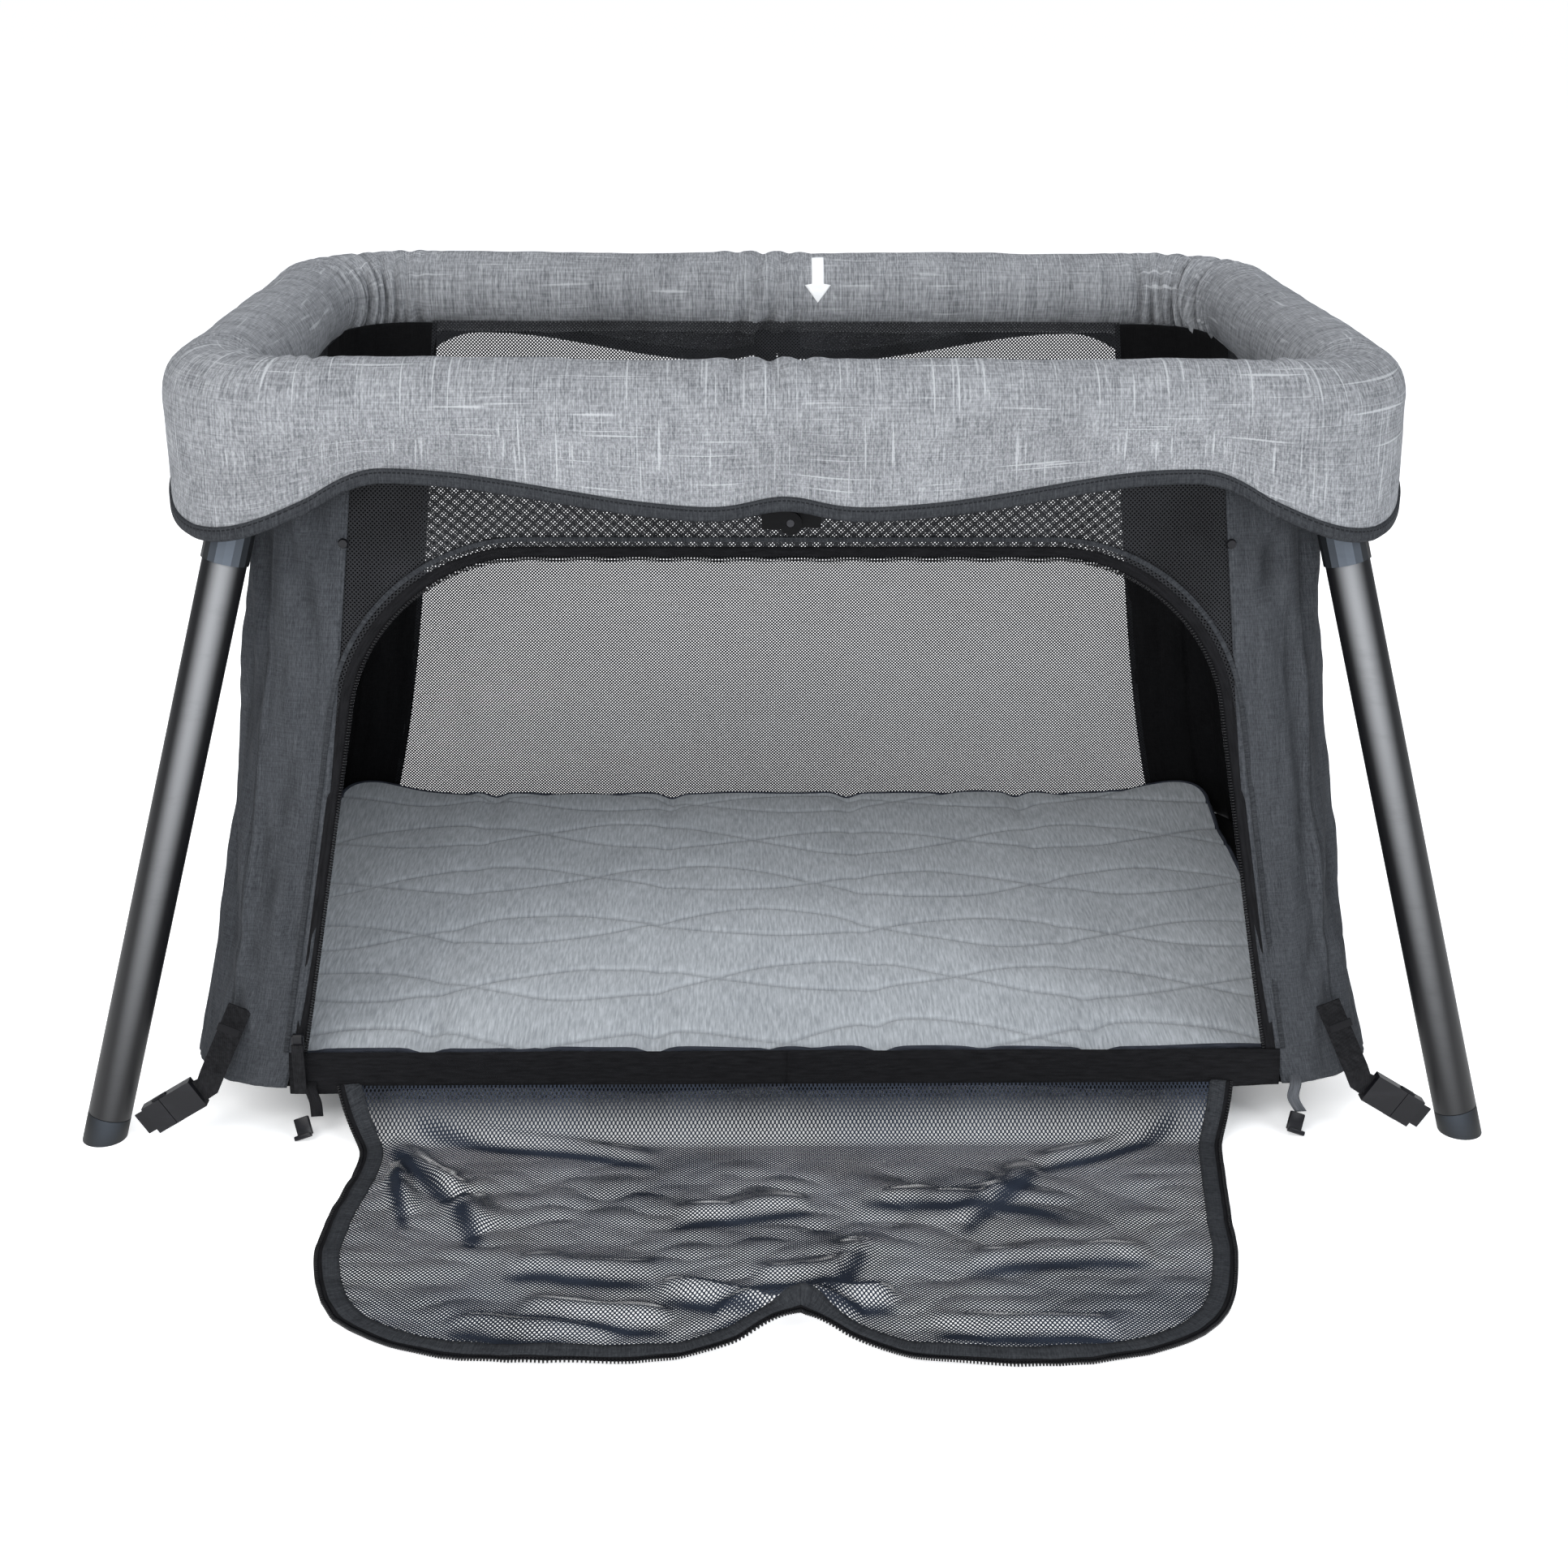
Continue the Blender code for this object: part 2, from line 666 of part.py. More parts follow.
def ribbon(points, width, thickness, facing):
    """A flat band along the points; its faces look along facing."""
    rings = []
    facing = facing.normalized()
    for index, point in enumerate(points):
        ahead = points[min(index + 1, len(points) - 1)]
        behind = points[max(index - 1, 0)]
        across = (ahead - behind).cross(facing).normalized() * width / 2
        deep = facing * thickness / 2
        rings.append([point + across + deep, point + across - deep,
                      point - across - deep, point - across + deep])
    return loft(rings)


def strap_line(side_x, side_y):
    """The strap's places at rest: foot, buckle start, buckle end and sling corner."""
    y = side_y * (foot_span_y / 2 + strap_set_out)
    foot = Vector((side_x * (foot_span_x / 2 - leg_tube_radius - strap_foot_gap), y, strap_width * 0.65))
    lean = math.radians(buckle_lean_deg)
    along = Vector((-side_x * math.cos(lean), 0, math.sin(lean)))
    start = foot + along * strap_foot_length
    end = start + along * (plug_length + socket_length + clearance)
    corner = sling_point(strap_corner_share, strap_top_z, strap_stand_off)
    top = Vector((side_x * corner.x, side_y * abs(corner.y), corner.z))
    return foot, start, along, end, top


def make_strap(name, side_x, side_y):
    foot, start, along, end, top = strap_line(side_x, side_y)
    shift = Vector((0, y_shift, 0))
    pivot = add_empty("strap_" + name, Matrix.Identity(4))
    facing = Vector((0, 1, 0))
    up = along.cross(facing).normalized()
    black = ((0.012, 0.012, 0.014), 0.85)
    plastic = ((0.015, 0.015, 0.017), 0.4)

    def body(label, bm, look):
        bmesh.ops.translate(bm, vec=shift, verts=bm.verts)
        made = add_object(label + name, bm, look, pivot)
        smooth(made)
        return made

    def slab(spans):
        """A bar along the strap from (distance, half width, half thickness) spans."""
        rings = []
        for distance, across, deep in spans:
            centre = start + along * distance
            rings.append([centre + up * across + facing * deep, centre + up * across - facing * deep,
                          centre - up * across - facing * deep, centre - up * across + facing * deep])
        return loft(rings)

    wide = buckle_width / 2
    half = buckle_thickness / 2
    web = strap_width / 2
    thin = strap_thickness / 2
    neck = wide - plug_neck
    neck_deep = half / 2
    tail = (start - foot).length
    body("buckle_plug_", slab([(-tail, web, thin), (-plug_step, web, thin), (0, wide, half),
                               (plug_length - clearance, wide, half), (plug_length, neck, neck_deep),
                               (plug_length + plug_tongue, neck - plug_taper, neck_deep * 0.8)]), plastic)
    socket = body("buckle_socket_", slab([(plug_length + clearance, wide, half),
                                          (plug_length + socket_length, wide, half)]), plastic)
    room = clearance * 2
    bore = slab([(0, neck + room, neck_deep + room),
                 (plug_length + plug_tongue + plug_taper * 2, neck + room, neck_deep + room)])
    bmesh.ops.translate(bore, vec=shift, verts=bore.verts)
    cut(socket, add_object("socket_bore_" + name, bore, guide_look, pivot))
    straight = end + along * strap_turn
    elbow = straight + along * strap_turn * 0.6 + Vector((0, 0, strap_turn * 0.9))
    body("corner_strap_", ribbon([end + along * clearance, straight, elbow, elbow.lerp(top, 0.5), top],
                                 strap_width, strap_thickness, facing), black)


def make_zip_slider():
    """The slider waits at the arch's left foot; its pull hangs on its front face."""
    x = -arch_half_width - slider_set_out
    y = -sling_half_y(sling_bottom_z) - wall_thickness / 2 - slider_thickness / 2 - clearance
    place = Matrix.Translation((x, y + y_shift - slider_stand_off, sill_z + slider_length))
    pivot = add_empty("zip_slider_place", place)
    half = slider_width / 2
    deep = slider_thickness / 2
    slab = box((-half, -deep, -slider_length / 2), (half, deep, slider_length / 2))
    bmesh.ops.bevel(slab, geom=slab.edges[:], offset=slider_edge, segments=1, profile=0.5, affect="EDGES",
                    material=-1)
    add_object("zip_slider", slab, ((0.01, 0.01, 0.01), 0.35, 0.3), pivot)
    wide = pull_width / 2
    front = -deep - clearance - pull_thickness
    pull = box((-wide, front, -pull_length), (wide, front + pull_thickness, 0))
    add_object("zip_pull", pull, ((0.12, 0.12, 0.13), 0.85), pivot)


def main():
    clear_scene()
    for name, side in (("left", -1), ("right", 1)):
        make_rail_half(name, side)
    cutters = {name: make_tube_cutter(name, side) for name, side in (("left", -1), ("right", 1))}
    # The legs that fold outwards sit on one diagonal, so the pairs pass each other
    for name, side_x, side_y in (("front_left", -1, -1), ("front_right", 1, -1), ("back_left", -1, 1),
                                 ("back_right", 1, 1)):
        matrix, length = leg_frame(side_x, side_y, side_x * side_y < 0)
        cutter = cutters["left" if side_x < 0 else "right"]
        make_leg(name, matrix, length, math.atan2(side_y, side_x), cutter)
        make_strap(name, side_x, side_y)
    for name, side_y in (("front", -1), ("back", 1)):
        make_middle_hinge(name, side_y, cutters)
    make_sling()
    make_floor_and_mattress()
    make_door()
    make_zip_slider()


main()
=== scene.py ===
import json
import math
import bmesh
import bpy
from mathutils import Matrix, Vector, noise


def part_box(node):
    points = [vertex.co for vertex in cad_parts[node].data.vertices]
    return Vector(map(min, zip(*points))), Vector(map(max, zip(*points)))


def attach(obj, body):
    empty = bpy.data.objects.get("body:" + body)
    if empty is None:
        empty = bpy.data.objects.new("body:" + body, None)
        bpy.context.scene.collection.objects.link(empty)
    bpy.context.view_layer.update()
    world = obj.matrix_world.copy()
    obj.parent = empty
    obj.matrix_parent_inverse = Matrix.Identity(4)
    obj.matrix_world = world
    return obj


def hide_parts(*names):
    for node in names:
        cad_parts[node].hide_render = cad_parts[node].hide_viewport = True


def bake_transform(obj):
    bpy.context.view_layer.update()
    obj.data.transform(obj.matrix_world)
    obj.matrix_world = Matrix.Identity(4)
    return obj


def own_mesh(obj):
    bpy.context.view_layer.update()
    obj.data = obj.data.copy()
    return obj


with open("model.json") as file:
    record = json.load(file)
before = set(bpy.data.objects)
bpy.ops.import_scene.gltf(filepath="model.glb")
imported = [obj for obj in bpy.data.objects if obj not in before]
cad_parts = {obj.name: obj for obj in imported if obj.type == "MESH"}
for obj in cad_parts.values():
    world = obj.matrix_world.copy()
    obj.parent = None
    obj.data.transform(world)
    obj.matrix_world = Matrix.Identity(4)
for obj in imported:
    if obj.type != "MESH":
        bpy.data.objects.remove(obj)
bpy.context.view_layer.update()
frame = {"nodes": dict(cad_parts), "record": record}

print("frame loaded")

# where the CAD model stands: every piece below is placed from these
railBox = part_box("rail_cover_right")
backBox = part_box("mesh_back_right")
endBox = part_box("mesh_end_right")
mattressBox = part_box("mattress")
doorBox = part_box("door")
midY = (railBox[0].y + railBox[1].y) / 2

rail = {
    "roll": 0.038,
    "corner": 0.092,
    "rows": 44,
    "columns": 940,
    "middleDrop": 0.077,
    "highDrop": 0.046,
    "cornerDrop": 0.100,
    "highX": 0.305,
    "lowX": 0.432,
    "highY": 0.13,
    "lowY": 0.27,
    "thickness": 0.0018,
    "skirt": 0.38,  # share of the rows in the hanging skirt
    "wrap": math.radians(262),  # how far the cover goes round the roll
}
railX = railBox[1].x - rail["roll"]  # centreline of the padded roll
railY = (railBox[1].y - railBox[0].y) / 2 - rail["roll"]
railZ = railBox[1].z - rail["roll"]

sling = {
    "topX": 0.425,
    "topY": 0.266,
    "flareX": 0.022,
    "flareY": 0.016,
    "radius": 0.080,
    "halfWall": 0.00125,
}
slingTop = backBox[1].z
slingLow = backBox[0].z
slingSpreadX = endBox[1].x - sling["halfWall"] - sling["topX"] - sling["flareX"]
slingSpreadY = backBox[1].y - midY - sling["halfWall"] - sling["topY"] - sling["flareY"]

arch = {
    "half": 0.402,
    "topHalf": 0.330,
    "height": 0.415,
    "corner": 0.120,
    "sill": 0.026,
    "tape": 0.016,
}
sillZ = slingLow + arch["sill"]


def ease(share):
    share = min(max(share, 0.0), 1.0)
    return 0.5 - 0.5 * math.cos(math.pi * share)


def bell(distance, width):
    return math.exp(-(distance / width) ** 2)


def wave(turns):
    return math.sin(2 * math.pi * turns)


def wobble(x, y, z=0.0):
    return noise.noise(Vector((x, y, z)))


def newGroup(name, inputs, outputs):
    group = bpy.data.node_groups.new(name, "ShaderNodeTree")
    for label, kind, value in inputs:
        socket = group.interface.new_socket(label, in_out="INPUT", socket_type=kind)
        if value is not None:
            socket.default_value = value
    for label, kind in outputs:
        group.interface.new_socket(label, in_out="OUTPUT", socket_type=kind)
    return group, group.nodes.new("NodeGroupInput"), group.nodes.new("NodeGroupOutput")


def addNode(tree, kind, settings=None, **values):
    node = tree.nodes.new(kind)
    for key, value in (settings or {}).items():
        setattr(node, key, value)
    for key, value in values.items():
        node.inputs[key.replace("_", " ")].default_value = value
    return node


def link(tree, socket, value):
    # a colour or a number is set, and anything else is joined
    if isinstance(value, (int, float)):
        socket.default_value = value
    elif isinstance(value, tuple):
        socket.default_value = (*value, 1.0)
    else:
        tree.links.new(value, socket)


def mathNode(tree, operation, first, second=None, clamp=False):
    node = tree.nodes.new("ShaderNodeMath")
    node.operation = operation
    node.use_clamp = clamp
    for socket, value in zip(node.inputs, (first, second)):
        if value is not None:
            link(tree, socket, value)
    return node.outputs[0]


def times(tree, first, second, clamp=False):
    return mathNode(tree, "MULTIPLY", first, second, clamp)


def plus(tree, first, second, clamp=False):
    return mathNode(tree, "ADD", first, second, clamp)


def mixColour(tree, factor, first, second, blend="MIX"):
    node = tree.nodes.new("ShaderNodeMix")
    node.data_type = "RGBA"
    node.blend_type = blend
    for index, value in ((0, factor), (6, first), (7, second)):
        link(tree, node.inputs[index], value)
    return node.outputs[2]


def scaled(tree, vector, scale, turn=0.0):
    node = tree.nodes.new("ShaderNodeMapping")
    node.inputs["Scale"].default_value = scale
    node.inputs["Rotation"].default_value = (0, 0, turn)
    tree.links.new(vector, node.inputs["Vector"])
    return node.outputs[0]


def noiseOf(tree, vector, scale, detail=3.0, roughness=0.55):
    node = addNode(tree, "ShaderNodeTexNoise", Scale=scale, Detail=detail, Roughness=roughness)
    tree.links.new(vector, node.inputs["Vector"])
    return node.outputs["Fac"]


def ramp(tree, factor, low, high):
    node = tree.nodes.new("ShaderNodeMapRange")
    node.inputs["From Min"].default_value = low
    node.inputs["From Max"].default_value = high
    tree.links.new(factor, node.inputs["Value"])
    return node.outputs[0]


def painted(tree, name):
    node = addNode(tree, "ShaderNodeAttribute", {"attribute_name": name})
    return node.outputs["Fac"]


def streaks(tree, vector, scale, low, high, detail=3.0, roughness=0.55):
    return ramp(tree, noiseOf(tree, scaled(tree, vector, scale), 1.0, detail, roughness), low, high)


def makeHeatherGroup():
    # two-tone yarns: streaks along both thread directions, with a few thick light slubs
    group, start, end = newGroup("heather yarns", [
        ("Vector", "NodeSocketVector", None), ("Light", "NodeSocketColor", (0.5, 0.5, 0.5, 1)),
        ("Dark", "NodeSocketColor", (0.2, 0.2, 0.2, 1)), ("Slubs", "NodeSocketFloat", 0.5),
        ("Stretch", "NodeSocketFloat", 1.0)],
        [("Color", "NodeSocketColor"), ("Height", "NodeSocketFloat")])
    place = start.outputs["Vector"]
    warp = streaks(group, place, (900, 34, 1), 0.34, 0.68, 2.0, 0.6)
    weft = streaks(group, place, (30, 820, 1), 0.34, 0.70, 2.0, 0.6)
    both = plus(group, times(group, warp, 0.6), times(group, weft, 0.4))
    cloud = streaks(group, place, (60, 22, 1), 0.3, 0.7)
    fleck = streaks(group, place, (640, 240, 1), 0.42, 0.62, 1.0)
    tone = plus(group, times(group, both, 0.62), times(group, cloud, 0.13))
    tone = plus(group, tone, times(group, fleck, 0.25))
    slubUp = streaks(group, place, (430, 13, 1), 0.70, 0.80, 0.0)
    slubAcross = streaks(group, place, (12, 400, 1), 0.72, 0.82, 0.0)
    slub = times(group, mathNode(group, "MAXIMUM", slubUp, slubAcross), start.outputs["Slubs"])
    tone = plus(group, tone, slub, clamp=True)
    colour = mixColour(group, tone, start.outputs["Dark"], start.outputs["Light"])
    group.links.new(colour, end.inputs["Color"])
    group.links.new(plus(group, both, slub), end.inputs["Height"])
    return group


def makeWeaveGroup():
    # plain over-and-under weave, for bump
    group, start, end = newGroup("plain weave", [
        ("Vector", "NodeSocketVector", None), ("Threads", "NodeSocketFloat", 900.0)],
        [("Height", "NodeSocketFloat")])
    split = group.nodes.new("ShaderNodeSeparateXYZ")
    group.links.new(start.outputs["Vector"], split.inputs[0])
    waves = []
    for axis in (0, 1):
        turned = times(group, split.outputs[axis], start.outputs["Threads"])
        waves.append(mathNode(group, "SINE", times(group, turned, math.pi)))
    group.links.new(times(group, waves[0], waves[1]), end.inputs["Height"])
    return group


def makeNetGroup():
    # knitted net: round holes on a diagonal grid, with a height that rounds the threads
    group, start, end = newGroup("knitted net", [
        ("Vector", "NodeSocketVector", None), ("Pitch", "NodeSocketFloat", 0.0024),
        ("Hole", "NodeSocketFloat", 0.4)],
        [("Cover", "NodeSocketFloat"), ("Height", "NodeSocketFloat")])
    node = addNode(group, "ShaderNodeTexVoronoi", {"voronoi_dimensions": "2D"}, Randomness=0.0, Scale=1.0)
    perMetre = mathNode(group, "DIVIDE", 1.0, start.outputs["Pitch"])
    grow = group.nodes.new("ShaderNodeVectorMath")
    grow.operation = "SCALE"
    group.links.new(scaled(group, start.outputs["Vector"], (1, 1, 1), math.radians(45)), grow.inputs[0])
    group.links.new(perMetre, grow.inputs["Scale"])
    group.links.new(grow.outputs[0], node.inputs["Vector"])
    gap = mathNode(group, "SUBTRACT", node.outputs["Distance"], start.outputs["Hole"])
    group.links.new(mathNode(group, "GREATER_THAN", gap, 0.0), end.inputs["Cover"])
    group.links.new(times(group, gap, 3.0, clamp=True), end.inputs["Height"])
    return group


def makeStitchGroup():
    # a row of stitches along V's place, counted along U
    group, start, end = newGroup("stitch row", [
        ("Vector", "NodeSocketVector", None), ("Row", "NodeSocketFloat", 0.0),
        ("Length", "NodeSocketFloat", 0.0035), ("Width", "NodeSocketFloat", 0.0006)],
        [("Mask", "NodeSocketFloat")])
    split = group.nodes.new("ShaderNodeSeparateXYZ")
    group.links.new(start.outputs["Vector"], split.inputs[0])
    away = mathNode(group, "ABSOLUTE", mathNode(group, "SUBTRACT", split.outputs[1], start.outputs["Row"]))
    near = mathNode(group, "LESS_THAN", away, start.outputs["Width"])
    step = mathNode(group, "FRACT", mathNode(group, "DIVIDE", split.outputs[0], start.outputs["Length"]))
    dash = mathNode(group, "LESS_THAN", step, 0.68)
    group.links.new(times(group, near, dash), end.inputs["Mask"])
    return group


def makeGrainGroup():
    # fine moulded or brushed grain, with faint scuffs
    group, start, end = newGroup("moulded grain", [
        ("Vector", "NodeSocketVector", None), ("Scale", "NodeSocketFloat", 900.0)],
        [("Height", "NodeSocketFloat"), ("Scuff", "NodeSocketFloat")])
    fine = addNode(group, "ShaderNodeTexNoise", Detail=2.0)
    group.links.new(start.outputs["Vector"], fine.inputs["Vector"])
    group.links.new(start.outputs["Scale"], fine.inputs["Scale"])
    group.links.new(fine.outputs["Fac"], end.inputs["Height"])
    worn = streaks(group, start.outputs["Vector"], (18, 18, 60), 0.52, 0.75, 4.0, 0.7)
    group.links.new(worn, end.inputs["Scuff"])
    return group


heatherGroup = makeHeatherGroup()
weaveGroup = makeWeaveGroup()
netGroup = makeNetGroup()
stitchGroup = makeStitchGroup()
grainGroup = makeGrainGroup()


def placeGroup(tree, group, vector, **values):
    node = tree.nodes.new("ShaderNodeGroup")
    node.node_tree = group
    tree.links.new(vector, node.inputs["Vector"])
    for key, value in values.items():
        node.inputs[key].default_value = (*value, 1.0) if isinstance(value, tuple) else value
    return node


def newMaterial(name, roughness, sheen=0.0, gloss=0.5):
    material = bpy.data.materials.new(name)
    material.use_nodes = True
    tree = material.node_tree
    shader = tree.nodes["Principled BSDF"]
    shader.inputs["Roughness"].default_value = roughness
    shader.inputs["Specular IOR Level"].default_value = gloss
    if sheen:
        shader.inputs["Sheen Weight"].default_value = sheen
        shader.inputs["Sheen Roughness"].default_value = 0.5
    where = tree.nodes.new("ShaderNodeTexCoord")
    return material, tree, shader, where


def addBump(tree, shader, height, strength, distance):
    node = addNode(tree, "ShaderNodeBump", Strength=strength, Distance=distance)
    tree.links.new(height, node.inputs["Height"])
    tree.links.new(node.outputs[0], shader.inputs["Normal"])


def heatherMaterial(name, light, dark, slubs, stitchRows=(), stitchColour=None):
    material, tree, shader, where = newMaterial(name, 0.95, 0.0, 0.12)
    place = where.outputs["UV"]
    yarn = placeGroup(tree, heatherGroup, place, Light=light, Dark=dark, Slubs=slubs)
    weave = placeGroup(tree, weaveGroup, place, Threads=800.0)
    colour = yarn.outputs["Color"]
    height = plus(tree, yarn.outputs["Height"], times(tree, weave.outputs[0], 0.3))
    for row in stitchRows:
        stitch = placeGroup(tree, stitchGroup, place, Row=row)
        colour = mixColour(tree, stitch.outputs[0], colour, stitchColour)
        height = plus(tree, height, times(tree, stitch.outputs[0], 0.8))
    # painted shade: the colour is darkened where the mesh's painted attribute marks creases, the underside of
    # the roll and the strip below the rail's skirt; on the panels the same attribute also holds a dark stitch
    # line beside the seam
    shade = mathNode(tree, "SUBTRACT", 1.0, times(tree, painted(tree, "stitchAndShade"), 0.62))
    grey = tree.nodes.new("ShaderNodeCombineColor")
    for socket in grey.inputs[:3]:
        tree.links.new(shade, socket)
    tree.links.new(mixColour(tree, 1.0, colour, grey.outputs[0], "MULTIPLY"), shader.inputs["Base Color"])
    addBump(tree, shader, height, 0.55, 0.0006)
    return material


def netMaterial(name, thread, pitch, hole, sheen=0.0):
    material, tree, shader, where = newMaterial(name, 0.6, sheen, 0.25)
    net = placeGroup(tree, netGroup, where.outputs["UV"], Pitch=pitch)
    holeSize = times(tree, mathNode(tree, "SUBTRACT", 1.0, painted(tree, "folded")), hole)
    tree.links.new(holeSize, net.inputs["Hole"])
    tint = noiseOf(tree, where.outputs["UV"], 14.0, 2.0)
    brighter = tuple(min(c * 2.2 + 0.006, 1.0) for c in thread)
    tree.links.new(mixColour(tree, ramp(tree, tint, 0.3, 0.7), thread, brighter), shader.inputs["Base Color"])
    tree.links.new(net.outputs["Cover"], shader.inputs["Alpha"])
    addBump(tree, shader, net.outputs["Height"], 0.5, 0.0004)
    return material


def webbingMaterial(name, colour, ribs=1400.0, space="UV", turn=0.0):
    material, tree, shader, where = newMaterial(name, 0.85, 0.0, 0.15)
    place = scaled(tree, where.outputs[space], (1, 1, 1), turn)
    weave = placeGroup(tree, weaveGroup, place, Threads=ribs)
    shade = streaks(tree, place, (60, 500, 300), 0.3, 0.75, 2.0)
    brighter = tuple(c * 1.9 + 0.004 for c in colour)
    tree.links.new(mixColour(tree, shade, colour, brighter), shader.inputs["Base Color"])
    addBump(tree, shader, weave.outputs[0], 0.6, 0.0005)
    return material


def hardMaterial(name, colour, roughness, metallic=0.0, grain=900.0, coat=0.0, bumpStrength=0.15, gloss=0.25):
    material, tree, shader, where = newMaterial(name, roughness, 0.0, gloss)
    shader.inputs["Metallic"].default_value = metallic
    shader.inputs["Coat Weight"].default_value = coat
    skin = placeGroup(tree, grainGroup, where.outputs["Object"], Scale=grain)
    worn = tuple(min(c * 1.5 + 0.003, 1.0) for c in colour)
    tree.links.new(mixColour(tree, skin.outputs["Scuff"], colour, worn), shader.inputs["Base Color"])
    rough = plus(tree, times(tree, skin.outputs["Scuff"], 0.12), roughness - 0.03)
    tree.links.new(rough, shader.inputs["Roughness"])
    addBump(tree, shader, skin.outputs["Height"], bumpStrength, 0.0002)
    return material


def jerseyMaterial(name, light, dark):
    # fine marl jersey of the mattress: short streaks along the knit
    material, tree, shader, where = newMaterial(name, 0.9, 0.2)
    streak = noiseOf(tree, scaled(tree, where.outputs["UV"], (520, 48, 1)), 1.0, 2.0, 0.6)
    cloud = noiseOf(tree, scaled(tree, where.outputs["UV"], (16, 10, 1)), 1.0, 3.0)
    tone = plus(tree, times(tree, ramp(tree, streak, 0.35, 0.68), 0.75),
                    times(tree, ramp(tree, cloud, 0.3, 0.7), 0.25))
    # painted shade: the colour darkens along the quilting grooves
    grooveShadeColour = tuple(c * 0.45 for c in dark)
    grooveShadeAmount = times(tree, painted(tree, "quilt"), 0.45)
    colour = mixColour(tree, grooveShadeAmount, mixColour(tree, tone, dark, light), grooveShadeColour)
    tree.links.new(colour, shader.inputs["Base Color"])
    weave = placeGroup(tree, weaveGroup, where.outputs["UV"], Threads=1100.0)
    height = plus(tree, streak, times(tree, weave.outputs[0], 0.4))
    addBump(tree, shader, height, 0.35, 0.0005)
    return material


def paintedHighlightMaterial(name, dark, band, width, roughness):
    material, tree, shader, where = newMaterial(name, roughness, 0.0, 0.35)
    # painted highlight: the colour turns from dark to the band colour where the surface faces the camera, a
    # bright streak down the middle of each tube; faint scuffs dull it
    facing = addNode(tree, "ShaderNodeLayerWeight", Blend=0.5)
    facingHighlight = ramp(tree, facing.outputs["Facing"], width, 0.0)
    skin = placeGroup(tree, grainGroup, where.outputs["Object"], Scale=1300.0)
    soft = mathNode(tree, "POWER", times(tree, facingHighlight, 1.0, clamp=True), 2.2)
    clean = mathNode(tree, "SUBTRACT", 1.0, times(tree, skin.outputs["Scuff"], 0.15))
    tone = times(tree, soft, clean)
    tree.links.new(mixColour(tree, tone, dark, band), shader.inputs["Base Color"])
    addBump(tree, shader, skin.outputs["Height"], 0.05, 0.0002)
    return material


looks = {
    "rail": heatherMaterial("rail heather", (0.44, 0.452, 0.470), (0.078, 0.082, 0.092), 0.55),
    "binding": heatherMaterial("charcoal binding", (0.058, 0.062, 0.068), (0.014, 0.015, 0.018), 0.03,
                               stitchRows=(0.0012,), stitchColour=(0.014, 0.015, 0.017)),
    "panel": heatherMaterial("charcoal heather", (0.090, 0.096, 0.106), (0.022, 0.024, 0.028), 0.04),
    "lining": heatherMaterial("black lining", (0.012, 0.012, 0.013), (0.003, 0.003, 0.0035), 0.0),
    "net": netMaterial("black net", (0.005, 0.0055, 0.007), 0.0024, 0.305),
    # painted shade: the door net's threads are tinted blue to stand in for the cool shadow on the floor beneath
    # it; the net itself is black
    "doorNet": netMaterial("door net", (0.008, 0.012, 0.021), 0.0024, 0.375),
    "jersey": jerseyMaterial("mattress jersey", (0.52, 0.55, 0.58), (0.27, 0.292, 0.315)),
    "piping": webbingMaterial("dark piping", (0.03, 0.034, 0.045)),
    "webbing": webbingMaterial("black webbing", (0.006, 0.006, 0.007)),
    "strap": webbingMaterial("strap webbing", (0.007, 0.007, 0.008), 900.0, "Object", 0.6),
    "tape": webbingMaterial("zip tape", (0.005, 0.005, 0.006), 1800.0),
    "greyTape": webbingMaterial("grey tape", (0.07, 0.074, 0.082), 1500.0),
    "teeth": hardMaterial("zip teeth", (0.004, 0.004, 0.005), 0.3, 0.0, 600.0),
    # the tubes, collars and foot caps carry a painted highlight down their middle
    "tube": paintedHighlightMaterial("black tube", (0.003, 0.003, 0.004), (0.26, 0.265, 0.275), 0.30, 0.5),
    "collar": paintedHighlightMaterial("collar plastic", (0.004, 0.005, 0.006), (0.10, 0.12, 0.15), 0.5, 0.5),
    "plastic": hardMaterial("black plastic", (0.007, 0.007, 0.009), 0.38),
    # painted shade: the middle hinges get a darker, less glossy copy of the black plastic
    "shaded": hardMaterial("hinge plastic", (0.003, 0.003, 0.0035), 0.6, gloss=0.1),
    "foot": paintedHighlightMaterial("foot plastic", (0.004, 0.005, 0.006), (0.030, 0.038, 0.050), 0.6, 0.6),
    "steel": hardMaterial("black oxide steel", (0.03, 0.03, 0.033), 0.35, 0.9, 1200.0),
    "button": hardMaterial("grey plastic", (0.2, 0.21, 0.23), 0.45),
    "print": hardMaterial("white print", (0.86, 0.87, 0.88), 0.6),
}
print("materials made")


def finishMesh(name, bm, look, lining=None, sharp=None):
    mesh = bpy.data.meshes.new(name)
    bm.to_mesh(mesh)
    bm.free()
    piece = bpy.data.objects.new(name, mesh)
    bpy.context.scene.collection.objects.link(piece)
    mesh.materials.append(looks[look])
    if lining:
        mesh.materials.append(looks[lining])
    mesh.shade_smooth()
    if sharp:
        mesh.set_sharp_from_angle(angle=math.radians(sharp))
    return piece


